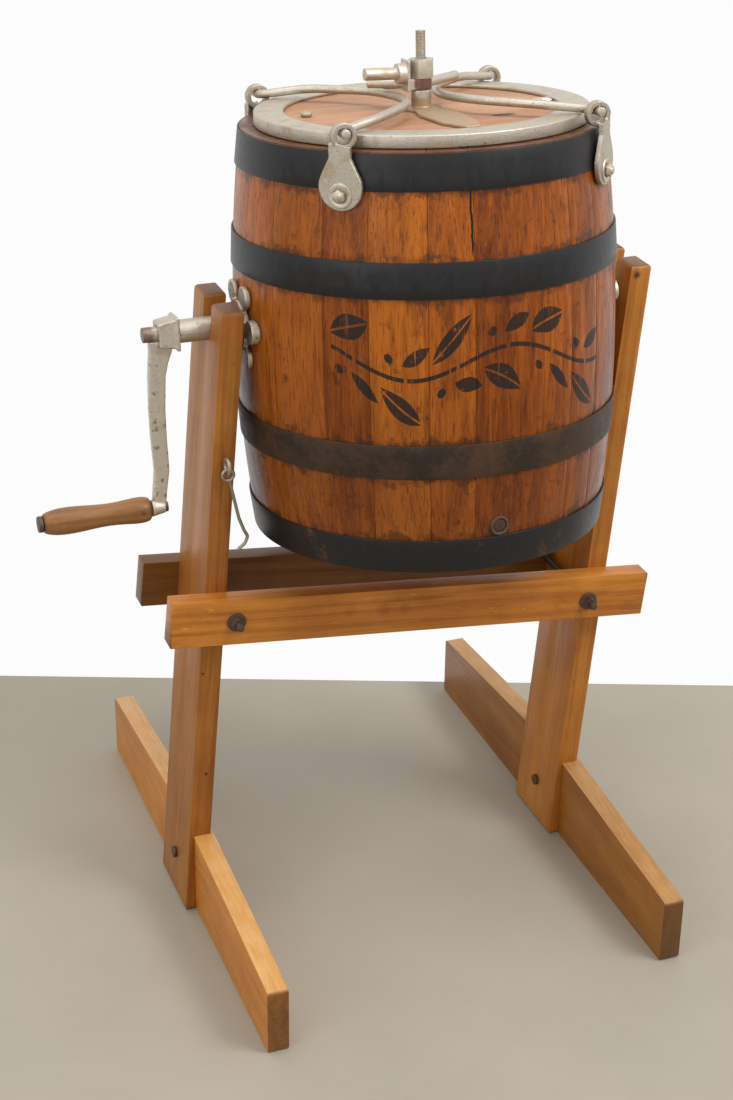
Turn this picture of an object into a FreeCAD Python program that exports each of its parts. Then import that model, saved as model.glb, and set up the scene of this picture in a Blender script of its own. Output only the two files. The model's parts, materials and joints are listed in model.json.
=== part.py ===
import FreeCAD, Part
import math
import os
import re
import Sketcher

# Barrel churn: a stave barrel with a clamped lid turns end over end in two leaning posts.
# Origin: on the floor, in the middle of the outline in X and Y. +Z up, +X to the right of the
# crank, -Y the side with the drain. Lengths in mm, angles in degrees.

V = FreeCAD.Vector
doc = FreeCAD.newDocument("BarrelChurn")
sheet = doc.addObject("Spreadsheet::Sheet", "Sheet")

SIZES = [
    # stand
    ("trunnion_height", 691), ("barrel_tilt", 5.73), ("span_half", 218.5),
    ("post_thickness", 24), ("post_width", 98), ("post_height", 723), ("post_lean", 4.6),
    ("notch_radius", 13.5), ("lap_step", 13),
    ("foot_thickness", 23), ("foot_half_length", 317), ("foot_end_height", 78), ("foot_height", 100),
    ("rail_thickness", 22.5), ("rail_height", 53), ("rail_slope", 5.8),
    ("rail_left_reach", 312), ("rail_right_reach", 259), ("front_rail_rise", 361), ("back_rail_rise", 352),
    ("tie_inset", 2.2), ("tie_radius", 4), ("tie_washer_radius", 10.5), ("washer_thickness", 2),
    ("nut_thickness", 7), ("tie_nut_radius", 8), ("bolt_stub", 8), ("tie_left_z", 381), ("tie_right_z", 333),
    ("foot_bolt_z", 50), ("foot_bolt_radius", 3.5), ("foot_bolt_head_radius", 6.5), ("bolt_head_thickness", 4),
    ("screw_eye_z", 559), ("eye_ring_radius", 8), ("eye_wire_radius", 2.2), ("screw_eye_depth", 18),
    ("hook_wire_radius", 1.8), ("hook_length", 88), ("hook_loop_radius", 6), ("hook_lean", 12),
    ("hook_sway", 9), ("hook_shank_bend", 30), ("hook_neck_bend", 8), ("hook_crook_bend", 4),
    ("screw_eye_inset", 13),
    # barrel
    ("rim_height", 195.6), ("chime_depth", 235.6), ("end_radius", 189), ("bilge_radius", 204),
    ("stave_thickness", 17), ("seam_gap", 0.04), ("hoop_thickness", 2), ("hoop_clearance", 0.15),
    ("hoop_width", 36), ("top_hoop_drop", 1), ("second_hoop_top", 90.9), ("third_hoop_top", -94.8),
    ("bottom_hoop_lift", 0.5),
    ("head_thickness", 15), ("head_recess", 13), ("head_clearance", 0.3),
    ("drain_s", -188.2), ("drain_angle", -89.3), ("bush_radius", 10.6), ("bush_wall", 3.4), ("bush_stand", 1.5),
    ("plug_clearance", 0.1),
    # trunnions and crank
    ("plate_hub_radius", 27), ("plate_lobe_radius", 12.5), ("plate_lobe_offset", 36.5), ("plate_lobe_count", 6),
    ("plate_thickness", 6.5), ("plate_turn", 0), ("plate_clearance", 0.3),
    ("journal_radius", 12.25), ("journal_clearance", 0.08), ("journal_end", 4), ("crank_gap", 31.5),
    ("hub_length", 22), ("hub_flange", 4), ("hub_flange_half", 17.5), ("hub_wide_half", 15.5),
    ("hub_narrow_half", 12), ("hub_depth", 25), ("hub_bore_radius", 8), ("shaft_stub", 15),
    ("arm_thickness", 9), ("arm_inset", 3), ("arm_top_width", 24), ("arm_mid_width", 17),
    ("arm_low_width", 14), ("arm_sway", 7.3), ("arm_low_offset", 11.5), ("crank_radius", 188),
    ("arm_boss_radius", 9.2), ("arm_boss_small", 6.2), ("arm_boss_lip", 1.5),
    ("spindle_radius", 4.5), ("spindle_clearance", 0.08), ("spindle_rivet", 2.5),
    ("grip_length", 115), ("grip_gap", 1.2), ("grip_neck_radius", 11.6), ("grip_belly_radius", 14.6),
    ("grip_rim_radius", 14.2), ("grip_end_radius", 9.6), ("spindle_cap_radius", 8.6),
    ("spindle_cap_length", 4.8), ("ferrule_radius", 8.5), ("spindle_rivet_radius", 5.6),
    # lugs
    ("lug_x", 135), ("lug_s", 210), ("eye_outer_radius", 13), ("eye_hole_radius", 7.9),
    ("bail_eye_gap", 0.5), ("eye_length", 9),
    ("lug_thickness", 5), ("lug_lobe_radius", 23), ("lug_lobe_rise", 8), ("lug_bolt_s", 154.2),
    ("lug_neck_width", 23), ("lug_neck_low", 36), ("lug_neck_top", 6),
    ("lug_bolt_radius", 4), ("lug_nut_radius", 6.8), ("lug_nut_length", 6), ("lug_clearance", 0.3),
    # lid
    ("lid_radius", 174), ("lid_rise", 13.4), ("lid_flange_inner", 143), ("lid_flange_thickness", 4),
    ("lid_seat_gap", 0.2), ("skirt_gap", 4), ("skirt_wall", 5), ("skirt_depth", 16), ("wood_thickness", 18),
    ("gasket_clearance", 0.3), ("wood_clearance", 0.2),
    ("foot_plate_thickness", 3.2), ("boss_radius", 10.5), ("boss_top", 226), ("boss_base_radius", 20),
    ("leaf_reach", 132), ("leaf_half_width", 21), ("leaf_turn", -89.5),
    ("rod_radius", 4.8), ("rod_top", 285), ("peg_radius", 6), ("peg_height", 5),
    ("peg_x", -121), ("peg_y", 14),
    # clamp
    ("collar_band_radius", 11.3), ("band_top", 237.5), ("bore_clearance", 0.08), ("nut_top", 257),
    ("nut_flats", 24), ("nut_bore_gap", 1.2), ("stack_gap", 0.1), ("finger_radius", 5), ("finger_s", 230.4),
    ("left_finger_x", -46), ("left_finger_y", 34), ("right_finger_x", 56), ("right_finger_y", 42),
    ("lever_radius", 6.3), ("lever_reach", 62), ("lever_s", 243), ("cup_radius", 10.5), ("cup_length", 12),
    ("cup_plate_thickness", 3), ("cup_start", 15.2), ("cup_plate_bottom", 225), ("cup_foot_width", 12),
    ("finger_drop", 1), ("lever_rise", 2),
    # bails
    ("bail_wire_radius", 4.5), ("bail_stub", 11), ("bail_vertex_x", 19), ("bail_vertex_s", 218.6),
    ("bail_mid_s", 219.6), ("bail_back_s", 219), ("bail_front_s", 218), ("bail_near", 44),
    ("bail_far", 96), ("bail_bow", 8), ("bail_straight", 9), ("bail_eye_bend", 11), ("bail_leg_bend", 85),
    ("bail_vertex_bend", 85),
]

# one angle for each stave, counted from the seam at first_seam; the last stave closes the ring
FIRST_SEAM = -160.5
STAVE_ANGLES = [19, 14.1, 16.9, 13.2, 21.5, 11, 12.8, 18, 22, 24, 24, 24, 26, 26, 28, 28]

DERIVED = [
    ("bilge_s", "(rim_height - chime_depth) / 2"),
    ("half_height", "(rim_height + chime_depth) / 2"),
    ("bilge_swell", "bilge_radius - end_radius"),
    ("curve_radius", "(half_height ^ 2 + bilge_swell ^ 2) / (2 * bilge_swell)"),
    ("curve_centre", "bilge_radius - curve_radius"),
    ("lean_slope", "tan(post_lean * 1 deg)"),
    ("post_across", "post_thickness / cos(post_lean * 1 deg)"),
    ("hub_end", "span_half + post_across + crank_gap + hub_length"),
    ("arm_x", "hub_end - arm_inset"),
    ("arm_boss_inner", "arm_x + arm_low_offset - arm_low_width / 2"),
    ("arm_boss_end", "arm_x + arm_low_offset + arm_low_width / 2 + arm_boss_lip"),
    ("grip_start", "arm_boss_end + grip_gap"),
    ("grip_end", "grip_start + grip_length"),
    ("left_reach", "grip_end + spindle_cap_length"),
    ("origin_shift", "(left_reach - rail_right_reach) / 2"),
    ("lid_top", "rim_height + lid_rise"),
    ("mouth_radius", "end_radius - stave_thickness"),
    ("skirt_radius", "mouth_radius - skirt_gap"),
    ("wood_top", "lid_top - lid_flange_thickness"),
    ("wood_radius", "skirt_radius - skirt_wall - wood_clearance"),
    ("left_post_foot", "-span_half - post_across - trunnion_height * lean_slope"),
    ("right_post_foot", "span_half - trunnion_height * lean_slope"),
    ("rail_face", "post_width / 2"),
    ("bail_hinge_s", "lug_s + eye_hole_radius - bail_wire_radius - bail_eye_gap"),
]


def fill_sheet():
    rows = [(name, str(value)) for name, value in SIZES]
    rows.append(("first_seam", str(FIRST_SEAM)))
    rows += [("stave_angle_%d" % i, str(value)) for i, value in enumerate(STAVE_ANGLES, 1)]
    rows += [(name, "=" + text) for name, text in DERIVED]
    for row, (name, text) in enumerate(rows, 1):
        sheet.set("A%d" % row, name)
        sheet.set("B%d" % row, text)
        sheet.setAlias("B%d" % row, name)
    doc.recompute()
    return {name for name, text in rows}


NAMES = fill_sheet()


def bound(text):
    """Writes an expression on the sheet's names so that a property can use it."""
    return re.sub(r"[a-z_][a-z_0-9]*", lambda m: "Sheet." + m[0] if m[0] in NAMES else m[0], str(text))


def val(text):
    """The number that an expression on the sheet's names stands for now."""
    found = sheet.evalExpression(bound(text))
    return float(getattr(found, "Value", found))


def outer_radius(s):
    """The staves' outer radius at a place s along the barrel, as an expression."""
    return "(curve_centre + sqrt(curve_radius ^ 2 - ((%s) - bilge_s) ^ 2))" % s


def spin(axis, angle):
    return FreeCAD.Rotation(axis, angle)


STAND = FreeCAD.Placement(V(val("origin_shift"), 0, 0), FreeCAD.Rotation())
BARREL = FreeCAD.Placement(
    V(val("origin_shift"), 0, val("trunnion_height")), spin(V(1, 0, 0), -val("barrel_tilt"))
)
PARTS = []


def part(obj, label):
    """Names a finished piece and puts it on the list that is written out."""
    obj.Label = label
    PARTS.append(obj)
    return obj


def bind(obj, **expressions):
    for name, text in expressions.items():
        obj.setExpression(name, bound(text))
    return obj


def cylinder(name, radius, height, place):
    """A cylinder along its own Z, from the start of its placement."""
    obj = bind(doc.addObject("Part::Cylinder", name), Radius=radius, Height=height)
    obj.Placement = place
    return obj


def box(name, length, width, height, place):
    obj = bind(doc.addObject("Part::Box", name), Length=length, Width=width, Height=height)
    obj.Placement = place
    return obj


def prism(name, radius, height, place, sides=6):
    obj = bind(doc.addObject("Part::Prism", name), Circumradius=radius, Height=height)
    obj.Polygon = sides
    obj.Placement = place
    return obj


def fuse(name, shapes):
    obj = doc.addObject("Part::MultiFuse", name)
    obj.Shapes = shapes
    obj.Refine = True
    return obj


def cut(name, base, tool):
    obj = doc.addObject("Part::Cut", name)
    obj.Base = base
    obj.Tool = tool
    return obj


def at(frame, x, y, z, rotation=None):
    """A placement at a point given by expressions in a frame."""
    here = FreeCAD.Placement(V(val(x), val(y), val(z)), rotation or FreeCAD.Rotation())
    return frame.multiply(here)


def along(frame, start, end):
    """The placement whose Z runs from start to end, and the distance between them."""
    a = V(*[val(c) for c in start])
    b = V(*[val(c) for c in end])
    turn = FreeCAD.Rotation(V(0, 0, 1), b - a)
    return frame.multiply(FreeCAD.Placement(a, turn)), (b - a).Length


def bar(name, frame, start, end, radius):
    """A round bar between two points."""
    place, length = along(frame, start, end)
    return cylinder(name, radius, repr(length), place)


def plane(body, role):
    return [f for f in body.Origin.OriginFeatures if f.Role == role][0]


def outline(body, role, points, arcs=None):
    """A closed sketch through points given by expressions.

    arcs gives a radius to some of its sides, which then swell towards +X.
    """
    arcs = arcs or {}
    sketch = body.newObject("Sketcher::SketchObject", body.Name + "Sketch")
    sketch.AttachmentSupport = (plane(body, role), [""])
    sketch.MapMode = "FlatFace"
    spots = [V(val(x), val(y), 0) for x, y in points]
    count = len(spots)
    ends = []
    for i in range(count):
        a = spots[i]
        b = spots[(i + 1) % count]
        if i in arcs:
            rising = b.y > a.y
            low, high = (a, b) if rising else (b, a)
            radius = val(arcs[i])
            chord = high - low
            inward = V(-chord.y, chord.x, 0).normalize()
            centre = (low + high) / 2 + inward * math.sqrt(radius ** 2 - chord.Length ** 2 / 4)
            first = math.atan2(low.y - centre.y, low.x - centre.x)
            last = math.atan2(high.y - centre.y, high.x - centre.x)
            circle = Part.Circle(centre, V(0, 0, 1), radius)
            sketch.addGeometry(Part.ArcOfCircle(circle, first, last))
            ends.append((1, 2) if rising else (2, 1))
        else:
            sketch.addGeometry(Part.LineSegment(a, b))
            ends.append((1, 2))
    for i in range(count):
        j = (i + 1) % count
        sketch.addConstraint(Sketcher.Constraint("Coincident", i, ends[i][1], j, ends[j][0]))
    for i, (x, y) in enumerate(points):
        for kind, text in (("DistanceX", x), ("DistanceY", y)):
            index = sketch.addConstraint(Sketcher.Constraint(kind, i, ends[i][0], val(text)))
            sketch.setExpression("Constraints[%d]" % index, bound(text))
    for i, text in arcs.items():
        index = sketch.addConstraint(Sketcher.Constraint("Radius", i, val(text)))
        sketch.setExpression("Constraints[%d]" % index, bound(text))
    return sketch


def turned_body(name, points, place, axis="V_Axis", angle="360", arcs=None):
    """A piece of revolution from a sketch in the XZ plane, centred on that plane when it is a sector."""
    body = doc.addObject("PartDesign::Body", name)
    sketch = outline(body, "XZ_Plane", points, arcs)
    turn = body.newObject("PartDesign::Revolution", name + "Turn")
    turn.Profile = sketch
    turn.ReferenceAxis = (sketch, [axis])
    turn.setExpression("Angle", bound(angle))
    turn.Midplane = True
    body.Placement = place
    return body


def plate_body(name, role, points, depth, place):
    """A flat piece: a sketch padded both ways from its plane."""
    body = doc.addObject("PartDesign::Body", name)
    sketch = outline(body, role, points)
    pad = body.newObject("PartDesign::Pad", name + "Pad")
    pad.Profile = sketch
    pad.setExpression("Length", bound(depth))
    pad.Midplane = True
    body.Placement = place
    return body


def wire_path(points, radii):
    """A wire of straight runs joined by tangent arcs at its inner points."""
    edges = []
    last = points[0]
    for i in range(1, len(points) - 1):
        before = (points[i - 1] - points[i]).normalize()
        after = (points[i + 1] - points[i]).normalize()
        half = (math.pi - before.getAngle(after)) / 2
        reach = radii[i - 1] * math.tan(half)
        a = points[i] + before * reach
        b = points[i] + after * reach
        inward = (before + after).normalize()
        centre = points[i] + inward * (radii[i - 1] / math.cos(half))
        middle = centre - inward * radii[i - 1]
        edges.append(Part.LineSegment(last, a).toShape())
        edges.append(Part.Arc(a, middle, b).toShape())
        last = b
    edges.append(Part.LineSegment(last, points[-1]).toShape())
    return Part.Wire(edges)


def bent_rod(path, start, direction, radius):
    """A round rod swept along a wire."""
    ring = Part.Wire([Part.Circle(start, direction, radius).toShape()])
    return path.makePipeShell([ring], True, False)


def shaped(name, shape, place):
    obj = doc.addObject("Part::Feature", name)
    obj.Shape = shape
    obj.Placement = place
    return obj


X_UP = spin(V(0, 1, 0), 90)
Y_UP = spin(V(1, 0, 0), -90)


# stand

def post_outline(foot_x):
    """The leaning post with its half lap over the foot; foot_x is its left face on the floor."""
    lap = "%s + lap_step" % foot_x
    return [
        ("%s" % foot_x, "0"),
        (lap, "0"),
        (lap, "foot_height"),
        ("%s + post_across + foot_height * lean_slope" % foot_x, "foot_height"),
        ("%s + post_across + post_height * lean_slope" % foot_x, "post_height"),
        ("%s + post_height * lean_slope" % foot_x, "post_height"),
    ]


def post(side, foot_x, eye):
    body = plate_body("PostBlank" + side, "XZ_Plane", post_outline(foot_x), "post_width", STAND)
    seat = "trunnion_height + notch_radius - journal_radius - journal_clearance"
    reach = "2 * post_across + 2 * post_height * lean_slope"
    start = at(STAND, foot_x + " - post_across", "0", seat, X_UP)
    round_end = cylinder("NotchRound" + side, "notch_radius", reach, start)
    slot_at = at(STAND, foot_x + " - post_across", "-notch_radius", seat)
    slot = box("NotchSlot" + side, reach, "2 * notch_radius", "post_height", slot_at)
    bolt_at = at(STAND, foot_x + " - post_across", "0", "foot_bolt_z", X_UP)
    hole = cylinder("PostBoltHole" + side, "foot_bolt_radius + bore_clearance", reach, bolt_at)
    tools = [round_end, slot, hole]
    if eye:
        tools.append(screw_eye_hole())
    return part(cut("Post" + side, body, fuse("PostTools" + side, tools)), "post_" + side.lower())


def screw_eye_x():
    return "left_post_foot + screw_eye_z * lean_slope + screw_eye_inset"


def screw_eye_hole():
    start = (screw_eye_x(), "-post_width / 2 - 1", "screw_eye_z")
    end = (screw_eye_x(), "-post_width / 2 + screw_eye_depth + 1", "screw_eye_z")
    return bar("ScrewEyeHole", STAND, start, end, "eye_wire_radius + bore_clearance")


def foot(side, foot_x):
    points = [
        ("-foot_half_length", "0"),
        ("foot_half_length", "0"),
        ("foot_half_length", "foot_end_height"),
        ("post_width / 2", "foot_height"),
        ("-post_width / 2", "foot_height"),
        ("-foot_half_length", "foot_end_height"),
    ]
    middle = foot_x + " + lap_step + foot_thickness / 2"
    place = at(STAND, middle, "0", "0")
    body = plate_body("FootBlank" + side, "YZ_Plane", points, "foot_thickness", place)
    start = at(STAND, foot_x, "0", "foot_bolt_z", X_UP)
    hole = cylinder(
        "FootBoltHole" + side, "foot_bolt_radius + bore_clearance", "3 * foot_thickness", start
    )
    return part(cut("Foot" + side, body, hole), "foot_" + side.lower())


def foot_bolt(side, foot_x):
    """The bolt through the lap, with its head on the left and its nut on the right."""
    left = foot_x + " + foot_bolt_z * lean_slope"
    right = foot_x + " + lap_step + foot_thickness"
    radius = "foot_bolt_radius"
    wide = "foot_bolt_head_radius"
    shank = bar(
        "FootBoltShank" + side, STAND,
        (left + " - bolt_head_thickness", "0", "foot_bolt_z"),
        (right + " + nut_thickness + 2", "0", "foot_bolt_z"), radius,
    )
    head = bar(
        "FootBoltHead" + side, STAND,
        (left + " - bolt_head_thickness", "0", "foot_bolt_z"),
        (left + " - foot_bolt_head_radius * lean_slope - stack_gap", "0", "foot_bolt_z"), wide,
    )
    nut = prism(
        "FootBoltNut" + side, wide, "nut_thickness",
        at(STAND, right + " + stack_gap", "0", "foot_bolt_z", X_UP), 4,
    )
    return part(fuse("FootBolt" + side, [shank, head, nut]), "foot_bolt_" + side.lower())


def rail(side, y, rise):
    """A rail that falls to the right; rise is the height of its lower edge at its left end."""
    turn = spin(V(0, 1, 0), val("rail_slope"))
    length = "(rail_left_reach + rail_right_reach - rail_height * sin(rail_slope * 1 deg))"
    length = length + " / cos(rail_slope * 1 deg)"
    place = at(STAND, "-rail_left_reach", y, rise, turn)
    blank = box("RailBlank" + side, length, "rail_thickness", "rail_height", place)
    holes = []
    for end in ("Left", "Right"):
        name = "RailHole" + side + end
        x, z = tie_place(end)
        start = (x, "-post_width", z)
        holes.append(bar(name, STAND, start, (x, "post_width", z), "tie_radius + bore_clearance"))
    return part(cut("Rail" + side, blank, fuse("RailHoles" + side, holes)), "rail_" + side.lower())


def tie_place(side):
    """Where a tie bolt lies: just inside its post, on the rails' line."""
    if side == "Left":
        z = "tie_left_z"
        return "left_post_foot + post_across + tie_left_z * lean_slope + tie_radius + tie_inset", z
    return "right_post_foot + tie_right_z * lean_slope - tie_radius - tie_inset", "tie_right_z"


def tie_bolt(side):
    x, z = tie_place(side)
    back = "rail_face + rail_thickness"
    front = "-rail_face - rail_thickness"
    shank = bar(
        "TieShank" + side, STAND, (x, back, z),
        (x, front + " - washer_thickness - nut_thickness - bolt_stub", z), "tie_radius",
    )
    head = bar(
        "TieHead" + side, STAND, (x, back + " + stack_gap", z),
        (x, back + " + nut_thickness", z), "tie_washer_radius",
    )
    neck = bar("TieNeck" + side, STAND, (x, back, z), (x, back + " + 1", z), "tie_radius")
    part(fuse("TieBolt" + side, [shank, neck, head]), "tie_bolt_" + side.lower())
    washer = bar(
        "TieWasher" + side, STAND, (x, front + " - stack_gap", z),
        (x, front + " - washer_thickness", z), "tie_washer_radius",
    )
    nut_at, length = along(
        STAND, (x, front + " - washer_thickness", z),
        (x, front + " - washer_thickness - nut_thickness", z),
    )
    nut = prism("TieNutBlock" + side, "tie_nut_radius", repr(length), nut_at, 4)
    bore = bar(
        "TieNutBore" + side, STAND, (x, "-post_width / 2", z),
        (x, "-post_width", z), "tie_radius + bore_clearance",
    )
    blank = fuse("TieNutBlank" + side, [washer, nut])
    return part(cut("TieNut" + side, blank, bore), "tie_nut_" + side.lower())


def screw_eye():
    """The eye screwed into the left post; its ring stands in the YZ plane."""
    x = screw_eye_x()
    ring_y = "-post_width / 2 - eye_ring_radius - eye_wire_radius"
    ring = bind(
        doc.addObject("Part::Torus", "EyeRing"), Radius1="eye_ring_radius", Radius2="eye_wire_radius"
    )
    ring.Placement = at(STAND, x, ring_y, "screw_eye_z", X_UP)
    shank = bar(
        "EyeShank", STAND, (x, "-post_width / 2 - eye_wire_radius", "screw_eye_z"),
        (x, "-post_width / 2 + screw_eye_depth", "screw_eye_z"), "eye_wire_radius",
    )
    return part(fuse("ScrewEye", [ring, shank]), "screw_eye")


def hook():
    """The hook that hangs from the screw eye: a loop, a long shank and a crook."""
    wire = val("hook_wire_radius")
    loop = val("hook_loop_radius")
    length = val("hook_length")
    sway = val("hook_sway")
    ring = Part.makeTorus(loop, wire, V(0, 0, 0), V(0, 1, 0))
    points = [
        V(0, 0, -loop), V(0, 0, -0.6 * length), V(sway / 4, 0, -0.78 * length),
        V(sway / 2, 0, -0.87 * length), V(0, 0, -0.95 * length), V(-sway, 0, -length),
    ]
    bends = [val("hook_shank_bend"), val("hook_neck_bend"), val("hook_crook_bend"), val("hook_neck_bend")]
    path = wire_path(points, bends)
    rod = bent_rod(path, points[0], V(0, 0, -1), wire)
    shape = ring.fuse(rod).removeSplitter()
    turn = spin(V(0, 1, 0), -val("hook_lean"))
    ring_y = "-post_width / 2 - eye_ring_radius - eye_wire_radius"
    low = at(STAND, screw_eye_x(), ring_y, "screw_eye_z - eye_ring_radius")
    hang = val("hook_loop_radius - hook_wire_radius - eye_wire_radius - stack_gap")
    place = low.multiply(FreeCAD.Placement(V(0, 0, 0), turn))
    place = place.multiply(FreeCAD.Placement(V(0, 0, -hang), FreeCAD.Rotation()))
    return part(shaped("Hook", shape, place), "hook")


# barrel

def barrel_turn(angle):
    return BARREL.multiply(FreeCAD.Placement(V(), spin(V(0, 0, 1), angle)))


def radial(name, angle, s, start, end, radius):
    """A round bar along the barrel's radius at an angle and place s."""
    frame = barrel_turn(val(angle))
    return bar(name, frame, (start, "0", s), (end, "0", s), radius)


LUG_ANGLES = {"front_left": -135, "front_right": -45, "back_left": 135, "back_right": 45}


def drill_tools():
    """The holes in the staves: one under each lug and one for the drain bush."""
    tools = []
    for name, angle in LUG_ANGLES.items():
        tools.append(radial(
            "LugHole_" + name, str(angle), "lug_bolt_s", "mouth_radius", "bilge_radius + 5",
            "lug_bolt_radius + bore_clearance",
        ))
    tools.append(radial(
        "DrainHole", "drain_angle", "drain_s", "mouth_radius - 5", "bilge_radius + 5",
        "bush_radius + bore_clearance",
    ))
    return tools


def staves():
    """One body per stave: a sector of the barrel's wall, with straight radial seams."""
    points = [
        ("end_radius - stave_thickness", "-chime_depth"),
        ("end_radius", "-chime_depth"),
        ("end_radius", "rim_height"),
        ("end_radius - stave_thickness", "rim_height"),
    ]
    arcs = {1: "curve_radius", 3: "curve_radius"}
    tools = drill_tools()
    drilled = [(angle, tool) for angle, tool in zip(LUG_ANGLES.values(), tools)]
    drilled.append((val("drain_angle"), tools[-1]))
    start = val("first_seam")
    count = len(STAVE_ANGLES) + 1
    for i in range(1, count + 1):
        turn = "stave_angle_%d" % i
        if i == count:
            turn = "360 - (" + " + ".join("stave_angle_%d" % j for j in range(1, count)) + ")"
        width = val(turn)
        place = barrel_turn(start + width / 2)
        name = "Stave%02d" % i
        body = turned_body(name, points, place, angle=turn + " - seam_gap", arcs=arcs)
        holes = [tool for angle, tool in drilled if 0 < (angle - start) % 360 < width]
        if holes:
            body = cut(name + "Drilled", body, holes[0])
        part(body, "stave_%02d" % i)
        start += width


def hoop(label, top, bottom):
    """A flat iron hoop that follows the staves' slope."""
    inner_top = outer_radius(top) + " + hoop_clearance"
    inner_low = outer_radius(bottom) + " + hoop_clearance"
    points = [
        (inner_low, bottom),
        (inner_low + " + hoop_thickness", bottom),
        (inner_top + " + hoop_thickness", top),
        (inner_top, top),
    ]
    return part(turned_body(label.title().replace("_", ""), points, BARREL), label)


def hoops():
    hoop("hoop_top", "rim_height - top_hoop_drop", "rim_height - top_hoop_drop - hoop_width")
    hoop("hoop_second", "second_hoop_top", "second_hoop_top - hoop_width")
    hoop("hoop_third", "third_hoop_top", "third_hoop_top - hoop_width")
    low = "-chime_depth + bottom_hoop_lift"
    hoop("hoop_bottom", low + " + hoop_width", low)


def bottom_head():
    low = "-chime_depth + head_recess"
    top = low + " + head_thickness"
    edge = " - stave_thickness - head_clearance"
    points = [("0", low), (outer_radius(low) + edge, low), (outer_radius(top) + edge, top), ("0", top)]
    return part(turned_body("BottomHead", points, BARREL), "bottom_head")


def drain():
    surface = outer_radius("drain_s")
    bush = radial(
        "BushBlank", "drain_angle", "drain_s", surface + " - stave_thickness",
        surface + " + bush_stand", "bush_radius",
    )
    bore = radial(
        "BushBore", "drain_angle", "drain_s", surface + " - 2 * stave_thickness",
        surface + " + 2 * bush_stand", "bush_radius - bush_wall",
    )
    part(cut("DrainBush", bush, bore), "drain_bush")
    plug = radial(
        "DrainPlug", "drain_angle", "drain_s", surface + " - stave_thickness + 1",
        surface + " + bush_stand - 1", "bush_radius - bush_wall - plug_clearance",
    )
    return part(plug, "drain_plug")


# trunnions and crank

def signed(sign, text):
    """An expression on the side that the sign gives."""
    return "%d * (%s)" % (sign, text)


def trunnion(side, sign):
    """The lobed plate on the barrel's side with its journal; the left one goes on as the crank's shaft."""
    face = "bilge_radius + plate_thickness"
    inner = (signed(sign, "bilge_radius - plate_thickness"), "0", "0")
    plate_face = (signed(sign, face), "0", "0")
    shapes = [bar("PlateHub" + side, BARREL, inner, plate_face, "plate_hub_radius")]
    count = int(val("plate_lobe_count"))
    for i in range(count):
        angle = "(plate_turn + %d * 360 / plate_lobe_count) * 1 deg" % i
        y = "plate_lobe_offset * cos(%s)" % angle
        z = "plate_lobe_offset * sin(%s)" % angle
        start = (signed(sign, "bilge_radius - 2 * plate_thickness"), y, z)
        name = "PlateLobe%s%d" % (side, i)
        shapes.append(bar(name, BARREL, start, (signed(sign, face + " - 2"), y, z), "plate_lobe_radius"))
    blank = fuse("PlateBlank" + side, shapes)
    wall = cylinder(
        "PlateSeat" + side, "bilge_radius + plate_clearance", "4 * plate_hub_radius",
        at(BARREL, "0", "0", "-2 * plate_hub_radius"),
    )
    plate = cut("Plate" + side, blank, wall)
    if sign < 0:
        end = "span_half + post_across + crank_gap"
    else:
        end = "span_half + post_across + journal_end"
    journal_end = (signed(sign, end), "0", "0")
    pieces = [plate, bar("Journal" + side, BARREL, plate_face, journal_end, "journal_radius")]
    if sign < 0:
        shaft_end = (signed(sign, end + " + hub_length + shaft_stub"), "0", "0")
        pieces.append(bar("Shaft", BARREL, journal_end, shaft_end, "hub_bore_radius"))
    return part(fuse("Trunnion" + side, pieces), "trunnion_" + side.lower())


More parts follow.
